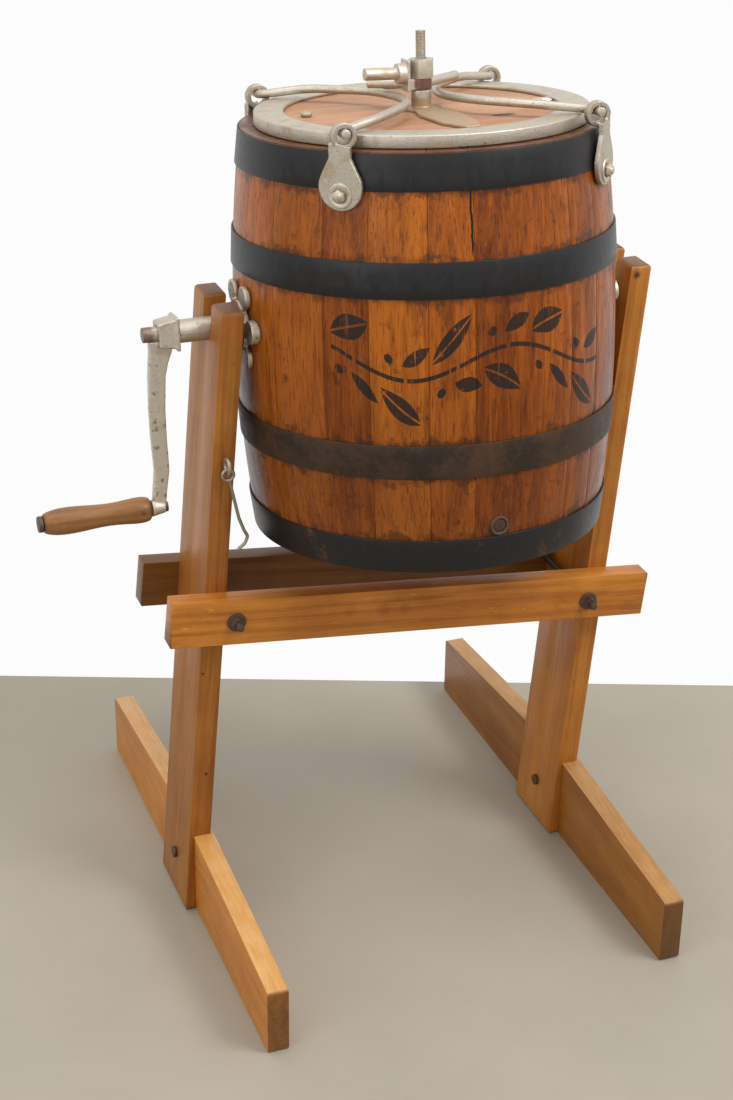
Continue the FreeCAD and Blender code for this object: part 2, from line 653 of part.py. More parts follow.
def crank():
    """The crank: a tapered hub with a square flange, a swaying flat arm and the cone for the spindle."""
    start = "-(hub_end - hub_length)"
    shoulder = start + " - hub_flange"
    flange_points = [
        (shoulder, "-hub_flange_half"), (shoulder, "hub_flange_half"),
        (start, "hub_flange_half"), (start, "-hub_flange_half"),
    ]
    flange = plate_body("CrankFlange", "XZ_Plane", flange_points, "hub_depth + hub_flange", BARREL)
    hub_points = [
        ("-hub_end", "-hub_narrow_half"), ("-hub_end", "hub_narrow_half"),
        (shoulder, "hub_wide_half"), (shoulder, "-hub_wide_half"),
    ]
    hub = plate_body("CrankHub", "XZ_Plane", hub_points, "hub_depth", BARREL)
    stations = [
        ("0", "0", "arm_top_width"),
        ("0.1", "0", "arm_top_width"),
        ("0.16", "0.4 * arm_sway", "(arm_top_width + arm_mid_width) / 2"),
        ("0.24", "0.75 * arm_sway", "arm_mid_width + 1"),
        ("0.43", "arm_sway", "arm_mid_width"),
        ("0.6", "arm_sway", "arm_mid_width - 0.5"),
        ("0.78", "arm_sway + 0.1 * arm_low_offset", "(arm_mid_width + arm_low_width) / 2"),
        ("0.9", "(arm_sway + arm_low_offset) / 2", "arm_low_width + 0.5"),
        ("1", "arm_low_offset", "arm_low_width"),
    ]
    heights = ["-crank_radius * " + station[0] for station in stations]
    outer = [("-arm_x - %s - (%s) / 2" % pair[1:], z) for pair, z in zip(stations, heights)]
    inner = [("-arm_x - %s + (%s) / 2" % pair[1:], z) for pair, z in zip(stations, heights)]
    arm = plate_body("CrankArm", "XZ_Plane", outer + inner[::-1], "arm_thickness", BARREL)
    low = "-crank_radius"
    cone = [
        ("-arm_boss_end", "0"), ("-arm_boss_end", "arm_boss_radius"),
        ("-arm_boss_inner", "arm_boss_small"), ("-arm_boss_inner", "0"),
    ]
    boss = turned_body("CrankBoss", cone, at(BARREL, "0", "0", low), axis="H_Axis")
    bore = bar(
        "CrankBore", BARREL, ("-left_reach", "0", "0"), ("0", "0", "0"), "hub_bore_radius + bore_clearance"
    )
    eye = bar(
        "SpindleBore", BARREL, ("-left_reach", "0", low), ("0", "0", low), "spindle_radius + bore_clearance"
    )
    blank = fuse("CrankBlank", [flange, hub, arm, boss])
    return part(cut("Crank", blank, fuse("CrankBores", [bore, eye])), "crank")


def grip_and_spindle():
    """The turned grip and the spindle that is riveted into the crank's cone."""
    low = "-crank_radius"
    place = at(BARREL, "0", "0", low)
    bore = "spindle_radius + spindle_clearance"
    swell = [
        ("0", "grip_neck_radius"),
        ("0.05", "grip_rim_radius - 0.4"),
        ("0.11", "grip_rim_radius"),
        ("0.22", "(grip_rim_radius + grip_neck_radius) / 2"),
        ("0.37", "grip_neck_radius"),
        ("0.56", "(grip_neck_radius + grip_belly_radius) / 2"),
        ("0.75", "grip_belly_radius"),
        ("0.87", "grip_belly_radius - 0.4"),
        ("0.96", "(grip_belly_radius + grip_end_radius) / 2"),
        ("1", "grip_end_radius"),
    ]
    points = [("-grip_start", bore)]
    points += [("-grip_start - %s * grip_length" % out, radius) for out, radius in swell]
    points.append(("-grip_end", bore))
    part(turned_body("Grip", points, place, axis="H_Axis"), "grip")
    inner = "-arm_boss_inner"
    pin = bar(
        "SpindlePin", BARREL, (inner + " + stack_gap", "0", low), ("-left_reach", "0", low), "spindle_radius"
    )
    cap = bar(
        "SpindleCap", BARREL, ("-grip_end - spindle_clearance", "0", low),
        ("-left_reach", "0", low), "spindle_cap_radius",
    )
    ferrule = bar(
        "Ferrule", BARREL, ("-arm_boss_end - spindle_clearance", "0", low),
        ("-grip_start + spindle_clearance", "0", low), "ferrule_radius",
    )
    rivet = bar(
        "SpindleRivet", BARREL, (inner + " + spindle_clearance", "0", low),
        (inner + " + spindle_rivet", "0", low), "spindle_rivet_radius",
    )
    return part(fuse("Spindle", [pin, cap, ferrule, rivet]), "spindle")


# lugs and bails

def lug(name, angle):
    """A cast lug on the top hoop: round foot, neck and an eye whose hole runs front to back."""
    sx = "1" if abs(angle) < 90 else "-1"
    sy = "1" if angle > 0 else "-1"
    frame = barrel_turn(angle)
    seat = outer_radius("rim_height - top_hoop_drop - hoop_width") + " + hoop_thickness + lug_clearance"
    face = seat + " + lug_thickness"
    lobe_s = "lug_bolt_s + lug_lobe_rise"
    lobe = bar("LugLobe_" + name, frame, (seat, "0", lobe_s), (face, "0", lobe_s), "lug_lobe_radius")
    blank_points = [
        ("-lug_lobe_radius * 0.87", lobe_s + " + lug_lobe_radius / 2"),
        ("lug_lobe_radius * 0.87", lobe_s + " + lug_lobe_radius / 2"),
        ("lug_neck_width / 2", "lug_bolt_s + lug_neck_low"),
        ("lug_neck_width / 2", "lug_s - lug_neck_top"),
        ("-lug_neck_width / 2", "lug_s - lug_neck_top"),
        ("-lug_neck_width / 2", "lug_bolt_s + lug_neck_low"),
    ]
    neck_at = at(frame, seat + " + lug_thickness / 2", "0", "0")
    neck = plate_body("LugNeck_" + name, "YZ_Plane", blank_points, "lug_thickness", neck_at)
    x = "%s * lug_x" % sx
    a = (x, "%s * (lug_x - eye_length / 2)" % sy, "lug_s")
    b = (x, "%s * (lug_x + eye_length / 2)" % sy, "lug_s")
    ring = bar("LugRing_" + name, BARREL, a, b, "eye_outer_radius")
    hole_a = (x, "%s * (lug_x - 4 * eye_length)" % sy, "lug_s")
    hole_b = (x, "%s * (lug_x + 4 * eye_length)" % sy, "lug_s")
    hole = bar("LugEyeHole_" + name, BARREL, hole_a, hole_b, "eye_hole_radius")
    bolt_hole = bar(
        "LugBoltHole_" + name, frame, (seat + " - 5", "0", "lug_bolt_s"),
        (face + " + 5", "0", "lug_bolt_s"), "lug_bolt_radius + bore_clearance",
    )
    blank = fuse("LugBlank_" + name, [lobe, neck, ring])
    part(cut("Lug_" + name, blank, fuse("LugHoles_" + name, [hole, bolt_hole])), "lug_" + name)
    shank = bar(
        "LugBoltShank_" + name, frame, ("mouth_radius", "0", "lug_bolt_s"),
        (face + " + lug_nut_length + 2", "0", "lug_bolt_s"), "lug_bolt_radius",
    )
    nut_at, length = along(
        frame, (face + " + stack_gap", "0", "lug_bolt_s"), (face + " + lug_nut_length", "0", "lug_bolt_s")
    )
    nut = prism("LugNut_" + name, "lug_nut_radius", repr(length), nut_at)
    return part(fuse("LugBolt_" + name, [shank, nut]), "lug_bolt_" + name)


def bail(label, side):
    """A bail: one bent wire, V-shaped from above, whose two ends pass outward through the eyes."""
    eye = val("lug_x")
    out = eye + val("bail_stub")
    near = val("bail_near")
    far = val("bail_far")
    bow = val("bail_bow")
    hinge = val("bail_hinge_s")
    vertex = val("bail_vertex_x")
    straight = val("bail_straight")
    end_bend = val("bail_eye_bend")
    leg_bend = val("bail_leg_bend")
    points = [
        V(side * eye, -out, hinge),
        V(side * eye, -eye + straight, hinge),
        V(side * (far - bow), -far - bow, val("bail_front_s")),
        V(side * (near - bow), -near - bow, val("bail_mid_s")),
        V(side * vertex, 0, val("bail_vertex_s")),
        V(side * (near - bow), near + bow, val("bail_mid_s")),
        V(side * (far - bow), far + bow, val("bail_back_s")),
        V(side * eye, eye - straight, hinge),
        V(side * eye, out, hinge),
    ]
    leg = [end_bend, leg_bend, leg_bend]
    path = wire_path(points, leg + [val("bail_vertex_bend")] + leg[::-1])
    rod = bent_rod(path, points[0], V(0, 1, 0), val("bail_wire_radius"))
    return part(shaped(label.title().replace("_", ""), rod, BARREL), label)


# lid and clamp

def lid():
    low = "rim_height + lid_seat_gap"
    skirt_low = "rim_height - skirt_depth"
    ring = [
        ("lid_flange_inner", "lid_top"),
        ("lid_radius", "lid_top"),
        ("lid_radius", low),
        ("skirt_radius", low),
        ("skirt_radius", skirt_low),
        ("skirt_radius - skirt_wall", skirt_low),
        ("skirt_radius - skirt_wall", "wood_top"),
        ("lid_flange_inner", "wood_top"),
    ]
    part(turned_body("LidRing", ring, BARREL), "lid_ring")
    gap = "gasket_clearance"
    gasket = [
        ("skirt_radius + " + gap, skirt_low),
        ("mouth_radius - " + gap, skirt_low),
        ("mouth_radius - " + gap, "rim_height - " + gap),
        ("skirt_radius + " + gap, "rim_height - " + gap),
    ]
    part(turned_body("LidGasket", gasket, BARREL), "lid_gasket")
    wood = [
        ("0", "wood_top - wood_thickness"),
        ("wood_radius", "wood_top - wood_thickness"),
        ("wood_radius", "wood_top - stack_gap"),
        ("0", "wood_top - stack_gap"),
    ]
    part(turned_body("LidWood", wood, BARREL), "lid_wood")
    peg = cylinder("LidPeg", "peg_radius", "peg_height", at(BARREL, "peg_x", "peg_y", "wood_top"))
    return part(peg, "lid_peg")


def lid_foot():
    """The casting on the lid: a leaf towards the front, a round base, a boss and the threaded rod."""
    frame = barrel_turn(val("leaf_turn"))
    half = "leaf_half_width"
    leaf = [
        ("0", "-boss_radius"),
        ("leaf_reach * 0.35", "-" + half),
        ("leaf_reach * 0.75", "-%s * 0.9" % half),
        ("leaf_reach", "-%s * 0.3" % half),
        ("leaf_reach", "%s * 0.4" % half),
        ("leaf_reach * 0.75", "%s * 0.9" % half),
        ("leaf_reach * 0.35", half),
        ("0", "boss_radius"),
    ]
    flat = plate_body(
        "LeafBlank", "XY_Plane", leaf, "foot_plate_thickness",
        at(frame, "0", "0", "wood_top + foot_plate_thickness / 2"),
    )
    base = cylinder("FootBase", "boss_base_radius", "foot_plate_thickness", at(BARREL, "0", "0", "wood_top"))
    boss = cylinder("FootBoss", "boss_radius", "boss_top - wood_top", at(BARREL, "0", "0", "wood_top"))
    rod = cylinder("ClampRod", "rod_radius", "rod_top - wood_top", at(BARREL, "0", "0", "wood_top"))
    return part(fuse("LidFoot", [flat, base, boss, rod]), "lid_foot")


def clamp_head():
    """The head on the rod: a band, two fingers over the bails, a cup and the lever."""
    band = cylinder(
        "HeadBand", "collar_band_radius", "band_top - boss_top - stack_gap",
        at(BARREL, "0", "0", "boss_top + stack_gap"),
    )
    pieces = [band]
    for side in ("left", "right"):
        end = ("%s_finger_x" % side, "%s_finger_y" % side, "finger_s")
        pieces.append(bar("Finger_" + side, BARREL, ("0", "0", "finger_s + finger_drop"), end, "finger_radius"))
    sheet_height = "nut_top - cup_plate_bottom"
    web_at = at(BARREL, "-cup_start - cup_plate_thickness", "-cup_radius", "cup_plate_bottom")
    pieces.append(box("CupPlate", "cup_plate_thickness", "2 * cup_radius", sheet_height, web_at))
    foot_bottom = "boss_top + stack_gap"
    foot_at = at(BARREL, "-cup_start - cup_plate_thickness", "-cup_foot_width / 2", foot_bottom)
    pieces.append(box("CupFoot", "cup_start", "cup_foot_width", "band_top - boss_top - stack_gap", foot_at))
    a = ("-cup_start", "0", "lever_s")
    b = ("-cup_start - cup_length", "0", "lever_s")
    pieces.append(bar("Cup", BARREL, a, b, "cup_radius"))
    pieces.append(bar("Lever", BARREL, a, ("-lever_reach", "0", "lever_s + lever_rise"), "lever_radius"))
    bore = cylinder(
        "HeadBore", "rod_radius + bore_clearance", "rod_top", at(BARREL, "0", "0", "wood_top")
    )
    blank = fuse("HeadBlank", pieces)
    return part(cut("ClampHead", blank, bore), "clamp_head")


def clamp_nut():
    low = "band_top + stack_gap"
    blank = prism(
        "NutBlank", "nut_flats / 2 / cos(30 * 1 deg)", "nut_top - band_top - stack_gap",
        at(BARREL, "0", "0", low),
    )
    bore = cylinder(
        "NutBore", "rod_radius + nut_bore_gap", "rod_top", at(BARREL, "0", "0", "wood_top")
    )
    return part(cut("ClampNut", blank, bore), "clamp_nut")


def build():
    post("Left", "left_post_foot", True)
    post("Right", "right_post_foot", False)
    for side, foot_x in (("Left", "left_post_foot"), ("Right", "right_post_foot")):
        foot(side, foot_x)
        foot_bolt(side, foot_x)
        tie_bolt(side)
    rail("Front", "-rail_face - rail_thickness", "front_rail_rise")
    rail("Back", "rail_face", "back_rail_rise")
    screw_eye()
    hook()
    staves()
    hoops()
    bottom_head()
    drain()
    trunnion("Left", -1)
    trunnion("Right", 1)
    crank()
    grip_and_spindle()
    for name, angle in LUG_ANGLES.items():
        lug(name, angle)
    bail("bail_left", -1)
    bail("bail_right", 1)
    lid()
    lid_foot()
    clamp_head()
    clamp_nut()


def write():
    for obj in doc.Objects:
        if "Invalid" in obj.State or "Error" in obj.State:
            raise RuntimeError("%s is %s" % (obj.Label, obj.State))
    for obj in PARTS:
        shape = obj.Shape
        if shape.isNull() or not shape.isValid() or not shape.Solids:
            raise RuntimeError("bad shape in " + obj.Label)
    os.makedirs("parts", exist_ok=True)
    for obj in PARTS:
        obj.Shape.exportStep("parts/%s.step" % obj.Label)
    print(len(PARTS), "pieces written")


build()
doc.recompute()
write()
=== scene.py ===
import json
import math

import bmesh
import bpy
from bpy.props import FloatProperty, FloatVectorProperty, PointerProperty
from mathutils import Matrix, Vector, noise


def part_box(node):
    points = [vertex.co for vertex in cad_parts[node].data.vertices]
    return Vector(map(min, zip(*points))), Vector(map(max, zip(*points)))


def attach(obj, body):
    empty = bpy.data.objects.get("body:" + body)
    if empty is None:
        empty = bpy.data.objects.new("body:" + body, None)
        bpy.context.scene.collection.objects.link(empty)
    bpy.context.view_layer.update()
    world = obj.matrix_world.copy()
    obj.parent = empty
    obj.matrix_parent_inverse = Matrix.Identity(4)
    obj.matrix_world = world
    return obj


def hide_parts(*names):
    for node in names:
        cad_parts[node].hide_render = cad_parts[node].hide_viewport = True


bl_info = {
    "name": "Barrel churn dressing",
    "version": (1, 0, 0),
    "blender": (4, 5, 0),
    "location": "3D View > Sidebar > Churn",
    "description": "Dresses the barrel churn: staves, hoops, castings, stand and stage",
    "category": "Object",
}

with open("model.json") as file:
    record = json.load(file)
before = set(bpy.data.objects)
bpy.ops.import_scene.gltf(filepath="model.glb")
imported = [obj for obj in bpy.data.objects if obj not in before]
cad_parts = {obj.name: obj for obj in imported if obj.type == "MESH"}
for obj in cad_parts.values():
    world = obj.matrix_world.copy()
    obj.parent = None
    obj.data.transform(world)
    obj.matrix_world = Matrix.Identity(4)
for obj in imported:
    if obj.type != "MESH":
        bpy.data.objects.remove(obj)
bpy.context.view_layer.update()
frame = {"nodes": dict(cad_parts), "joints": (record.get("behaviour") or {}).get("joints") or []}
NODES = frame["nodes"]
JOINTS = {joint["name"]: joint for joint in frame["joints"]}

TRUNNION = Vector(JOINTS["barrel_spin"]["pos_m"])
UP = Vector(JOINTS["nut_turn"]["axis"])
TILT = math.atan2(UP.y, UP.z)
BARREL = Matrix.Translation(TRUNNION) @ Matrix.Rotation(-TILT, 4, "X")
MM = 0.001


# Sizes and colours

def colour(name, words, value):
    return FloatVectorProperty(
        name=name, description=words, subtype="COLOR", size=3, min=0, max=1, default=value
    )


def length(name, words, value):
    return FloatProperty(name=name, description=words, default=value, min=0, unit="LENGTH", precision=5)


class ChurnWood(bpy.types.PropertyGroup):
    """Colours and edges of the wooden pieces"""

    pine_light: colour("Pine, light", "Pale wood of the stand", (0.60, 0.245, 0.036))
    pine_dark: colour("Pine, dark", "Dark grain of the stand", (0.27, 0.072, 0.008))
    oak_light: colour("Oak, light", "Pale wood of the staves", (0.47, 0.122, 0.010))
    oak_dark: colour("Oak, dark", "Dark grain of the staves", (0.115, 0.022, 0.003))
    lid_light: colour("Lid, light", "Pale wood of the lid", (0.60, 0.34, 0.18))
    lid_dark: colour("Lid, dark", "Dark grain of the lid", (0.40, 0.19, 0.11))
    grip_light: colour("Grip, light", "Pale wood of the grip", (0.42, 0.20, 0.060))
    grip_dark: colour("Grip, dark", "Dark wood of the grip", (0.19, 0.075, 0.022))
    paint: colour("Ornament", "Black paint of the sprig on the barrel", (0.016, 0.014, 0.013))
    board_edge: length("Board edge", "Worn round on the arrises of the stand", 0.0016)
    stave_edge: length("Stave edge", "Worn round on the edges of the staves", 0.0007)


class ChurnMetal(bpy.types.PropertyGroup):
    """Colours of the iron pieces"""

    tin: colour("Tinned iron", "Dull grey coating of the castings", (0.58, 0.53, 0.44))
    tin_stain: colour("Stain", "Yellowish stain on the castings", (0.42, 0.32, 0.19))
    black: colour("Black iron", "Painted hoops", (0.014, 0.013, 0.0135))
    rust: colour("Rust", "Rusty brown", (0.13, 0.055, 0.025))
    steel: colour("Dark steel", "Old bolts and nuts", (0.10, 0.075, 0.055))
    cast_voxel: length("Casting detail", "Voxel used to round the castings' corners", 0.0009)


class ChurnStage(bpy.types.PropertyGroup):
    """Floor, backdrop and light"""

    floor: colour("Floor", "Pale floor", (0.42, 0.38, 0.295))
    wall: colour("Backdrop", "White backdrop", (0.975, 0.975, 0.975))
    wall_distance: length("Backdrop distance", "From the camera along the floor", 2.48)
    key: FloatProperty(
        name="Key light", description="Power of the main lamp", default=52, min=0, unit="POWER"
    )
    fill: FloatProperty(
        name="Fill light", description="Power of the side lamp", default=17, min=0, unit="POWER"
    )
    sky: FloatProperty(name="Sky", description="Strength of the surrounding light", default=0.52, min=0)


# Nail holes, a knot and a check in the stand: x, y, z, radius and strength
MARKS = {
    "rail_front": [(-0.1852, -0.0715, 0.4175, 0.0025, 0.9), (-0.2214, -0.0715, 0.4167, 0.0022, 0.9),
                   (0.269, -0.0715, 0.3677, 0.0035, 0.8), (0.02, -0.0715, 0.366, 0.011, 0.22),
                   (0.045, -0.0715, 0.363, 0.009, 0.18), (-0.02, -0.0715, 0.371, 0.010, 0.15)],
    "post_left": [(-0.1822, -0.049, 0.3104, 0.0022, 0.9), (-0.1967, -0.049, 0.1921, 0.0026, 0.9),
                  (-0.1818, -0.049, 0.181, 0.0026, 0.9)],
    "post_right": [(0.3156, -0.049, 0.7128, 0.0055, 0.85)],
}

# Heights of the hoops' edges along the barrel, from the journals
HOOP_EDGES = (0.158, 0.091, 0.055, -0.095, -0.131, -0.199)

# Where each hoop's lap is, in degrees round the barrel from X
HOOP_LAPS = {"hoop_top": 128, "hoop_second": 110, "hoop_third": 70, "hoop_bottom": 120}

# Board, grain direction, lean of the grain, tone, seed, and how pale its tops are: rubbed wood with painted
# top light
BOARDS = {
    "post_left": ("Z", 0.080, 0.82, 1.0, 0.0),
    "post_right": ("Z", 0.080, 0.98, 2.0, 0.0),
    "foot_left": ("Y", 0.0, 1.20, 3.0, 0.85),
    "foot_right": ("Y", 0.0, 0.64, 4.0, 0.45),
    "rail_front": ("X", 0.101, 1.24, 5.0, 0.0),
    "rail_back": ("X", 0.101, 0.36, 6.0, 0.0),
}

# Tone of each stave, and the tints that they take in turn
STAVE_TONES = (
    0.13, -0.06, 0.20, 0.26, -0.05, 0.06, -0.02, 0.0, 0.04,
    0.08, -0.04, 0.06, 0.0, 0.1, -0.05, 0.03, 0.15,
)
STAVE_TINTS = (
    (0.96, 1.0, 1.1), (0.92, 0.88, 1.0), (1.10, 1.18, 1.2), (1.04, 1.04, 1.1),
    (0.90, 0.86, 0.9), (1.04, 1.02, 1.0), (0.96, 0.98, 1.0),
)
PAINTED_STAVES = range(2, 8)
CRACKED_STAVE = 4

# Fixed tones: bare worn iron, its rust, rubbed wood with painted top light, dark marks, rust on the castings
WORN_IRON = (0.026, 0.017, 0.011)
WORN_RUST = (0.070, 0.036, 0.018)
RUBBED_AND_LIT_WOOD = (0.80, 0.50, 0.20)
DARK_MARK = (0.03, 0.015, 0.009)
DEEP_RUST = (0.12, 0.040, 0.016)

# The camera: its place, how it is turned, lowered and rolled, and its lens in millimetres
CAMERA_EYE = Vector((TRUNNION.x - 0.8024, -1.9422, 1.4503))
CAMERA_YAW = math.radians(20.87)
CAMERA_PITCH = math.radians(-26.71)
CAMERA_ROLL = math.radians(0.78)
CAMERA_LENS = 67.78

# Sockets of a Mix node that mixes colours
MIX_SHARE, MIX_A, MIX_B, MIX_RESULT = 0, 6, 7, 2


# Colours and shader maths

def shade(tone, factor, lift=0.0):
    """A colour made lighter or darker."""
    return tuple(min(1.0, c * factor + lift) for c in tone)


class Value:
    """A socket that takes part in arithmetic."""

    def __init__(self, network, socket):
        self.network = network
        self.socket = socket

    def _sum(self, kind, other, swap=False):
        pair = (other, self) if swap else (self, other)
        return self.network.math(kind, *pair)

    def __add__(self, other):
        return self._sum("ADD", other)

    __radd__ = __add__

    def __mul__(self, other):
        return self._sum("MULTIPLY", other)

    __rmul__ = __mul__

    def __sub__(self, other):
        return self._sum("SUBTRACT", other)

    def __rsub__(self, other):
        return self._sum("SUBTRACT", other, True)

    def __truediv__(self, other):
        return self._sum("DIVIDE", other)

    def __rtruediv__(self, other):
        return self._sum("DIVIDE", other, True)


class Network:
    """The nodes of a material or of the world."""

    def __init__(self, tree):
        self.tree = tree

    def node(self, kind, settings=None, **sockets):
        """Adds a node: its settings first, then its sockets, by name or by number as i0, i1 and i2."""
        made = self.tree.nodes.new(kind)
        for key, value in (settings or {}).items():
            setattr(made, key, value)
        for key, value in sockets.items():
            which = int(key[1:]) if key[1:].isdigit() else key.replace("_", " ")
            self.feed(made.inputs[which], value)
        return made

    def feed(self, socket, value):
        """Links a socket to another or sets its value."""
        value = getattr(value, "socket", value)
        if isinstance(value, bpy.types.NodeSocket):
            self.tree.links.new(value, socket)
        elif socket.type == "RGBA":
            socket.default_value = (*value, 1)
        else:
            socket.default_value = value

    def math(self, kind, a, b=0.0, c=0.0, clamp=False):
        made = self.node("ShaderNodeMath", {"operation": kind, "use_clamp": clamp}, i0=a, i1=b, i2=c)
        return Value(self, made.outputs[0])


class Finish(Network):
    """A material under construction."""

    def __init__(self, name, metallic=0.0, roughness=0.5, coat=0.0, specular=0.5):
        self.material = bpy.data.materials.new(name)
        self.material.use_nodes = True
        super().__init__(self.material.node_tree)
        self.shader = self.tree.nodes["Principled BSDF"]
        for socket, value in (
            ("Metallic", metallic), ("Roughness", roughness), ("Coat Weight", coat),
            ("Coat Roughness", 0.18), ("Specular IOR Level", specular),
        ):
            self.feed(self.shader.inputs[socket], value)
        self.place = self.node("ShaderNodeTexCoord").outputs["Object"]

    def clamp(self, a):
        return self.math("ADD", a, 0.0, clamp=True)

    def smooth(self, a, low, high):
        """0 below low, 1 above high, eased between; high may be the smaller."""
        made = self.node(
            "ShaderNodeMapRange", {"interpolation_type": "SMOOTHSTEP"},
            Value=a, From_Min=low, From_Max=high,
        )
        return Value(self, made.outputs[0])

    def mix(self, share, a, b, blend="MIX"):
        made = self.node("ShaderNodeMix", {"data_type": "RGBA", "blend_type": blend})
        for which, value in ((MIX_SHARE, share), (MIX_A, a), (MIX_B, b)):
            self.feed(made.inputs[which], value)
        return made.outputs[MIX_RESULT]

    def moved(self, turn=(0, 0, 0), stretch=(1, 1, 1), shift=(0, 0, 0), source=None):
        made = self.node(
            "ShaderNodeMapping", {}, Vector=source or self.place,
            Location=shift, Rotation=turn, Scale=stretch,
        )
        return made.outputs[0]

    def noise(self, place, scale, detail=4.0, rough=0.55, warp=0.0):
        made = self.node(
            "ShaderNodeTexNoise", {}, Vector=place, Scale=scale, Detail=detail,
            Roughness=rough, Distortion=warp,
        )
        return Value(self, made.outputs[0])

    def parts(self, place):
        made = self.node("ShaderNodeSeparateXYZ", {}, Vector=place)
        return [Value(self, made.outputs[i]) for i in range(3)]

    def barrel_place(self):
        """Coordinates from the middle of the journals, with Z along the barrel."""
        centred = self.moved(shift=tuple(-TRUNNION))
        return self.moved(turn=(TILT, 0, 0), source=centred)

    def spot(self, base, mark, fine, wobble, core, tone):
        """A ragged spot on base; mark holds x, y, z, radius and strength."""
        x, y, z, radius, strength = mark
        apart = self.node("ShaderNodeVectorMath", {"operation": "DISTANCE"}, i0=self.place, i1=(x, y, z))
        near = Value(self, apart.outputs["Value"]) + (fine - 0.5) * (radius * wobble)
        return self.mix(self.smooth(near, radius, radius * core) * strength, base, tone)

    def surface(self, base=None, roughness=None, metallic=None, height=None, depth=0.0005):
        for name, value in (("Base Color", base), ("Roughness", roughness), ("Metallic", metallic)):
            if value is not None:
                self.feed(self.shader.inputs[name], value)
        if height is not None:
            bump = self.node("ShaderNodeBump", {}, Distance=depth, Height=height)
            bump.inputs["Strength"].default_value = 1.0
            self.feed(self.shader.inputs["Normal"], bump.outputs[0])
        return self.material


def grain_place(finish, along, seed=0.0, lean=0.0):
    """Coordinates with the grain along Z, for a board along X, Y or Z, leaning in XZ by an angle."""
    turns = {
        "X": (0, -math.pi / 2 - lean, 0),
        "Y": (math.pi / 2, 0, 0),
        "Z": (0, -lean, 0),
    }
    return finish.moved(turn=turns[along], shift=(seed * 0.37, seed * 0.53, seed * 0.71))


def board_finish(name, light, dark, along, seed, lean=0.0, tone=1.0, roughness=0.42, contrast=1.0,
                 dirt=0.35, ends=None, marks=(), worn=0.0):
    """Varnished board: faint growth bands, streaks, specks, handling marks and dark end grain."""
    finish = Finish(name, roughness=roughness, coat=0.08, specular=0.30)
    place = grain_place(finish, along, seed, lean)
    slow = finish.moved(stretch=(1, 1, 0.09), source=place)
    long = finish.moved(stretch=(1, 1, 0.030), source=place)
    bands = finish.node(
        "ShaderNodeTexWave", {"wave_type": "BANDS", "bands_direction": "X"},
        Vector=slow, Scale=21.0, Distortion=9.0, Detail=3.0, Detail_Scale=1.2,
    )
    band = finish.smooth(Value(finish, bands.outputs["Fac"]), 0.35, 1.0)
    streak = finish.noise(long, 330.0, 4.0, 0.62)
    fine = finish.noise(long, 1500.0, 2.0, 0.6)
    cloud = finish.noise(slow, 7.0, 4.0, 0.6)
    spots = finish.noise(finish.moved(stretch=(1, 1, 0.5), source=place), 70.0, 5.0, 0.7)
    blotch = finish.noise(place, 16.0, 4.0, 0.6)
    share = finish.clamp(
        band * (0.20 * contrast) + (streak - 0.5) * (0.8 * contrast) + (cloud - 0.45) * 1.8
        + (blotch - 0.5) * 0.9 + 0.24
    )
    base = finish.mix(share, light, dark)
    base = finish.mix(finish.smooth(fine, 0.58, 0.74) * 0.30, base, shade(dark, 0.45))
    grime = finish.smooth(spots, 0.60, 0.78) * dirt
    base = finish.mix(grime, base, (0.05, 0.025, 0.012))
    scuff = finish.noise(finish.moved(stretch=(1.0, 1.0, 0.25), source=place), 160.0, 2.0, 0.5)
    scuffs = finish.smooth(scuff, 0.70, 0.78)
    base = finish.mix(scuffs * 0.35, base, shade(light, 1.5))
    if tone != 1.0:
        base = finish.mix(1.0, base, (tone, tone * 0.97, tone * 0.93), "MULTIPLY")
    if worn:
        # upper faces made pale: wood rubbed bare by feet and hands, with painted light falling on the tops
        top = Value(finish, finish.node("ShaderNodeAttribute", {"attribute_name": "upper"}).outputs["Fac"])
        rubbed_and_lit = finish.smooth(streak + blotch, 0.70, 1.30) * 0.7 + 0.3
        base = finish.mix(top * rubbed_and_lit * worn, base, RUBBED_AND_LIT_WOOD)
    if ends:
        axis, low, high = ends
        reach = finish.parts(finish.place)[axis]
        grain = finish.noise(finish.place, 240.0, 4.0, 0.7)
        near_low = finish.smooth(reach, low + 0.004, low)
        near_high = finish.smooth(reach, high - 0.004, high)
        end = finish.math("MAXIMUM", near_low, near_high)
        base = finish.mix(end * (grain * 0.5 + 0.45), base, (0.075, 0.036, 0.018))
    for mark in marks:
        base = finish.spot(base, mark, fine, 0.8, 0.35, DARK_MARK)
    rough = finish.clamp((cloud - 0.5) * 0.35 + scuffs * 0.2 + streak * 0.16 + (roughness - 0.08))
    height = streak * 0.35 + fine * 0.25 - band * 0.12
    return finish.surface(base, rough, height=height, depth=0.00045)


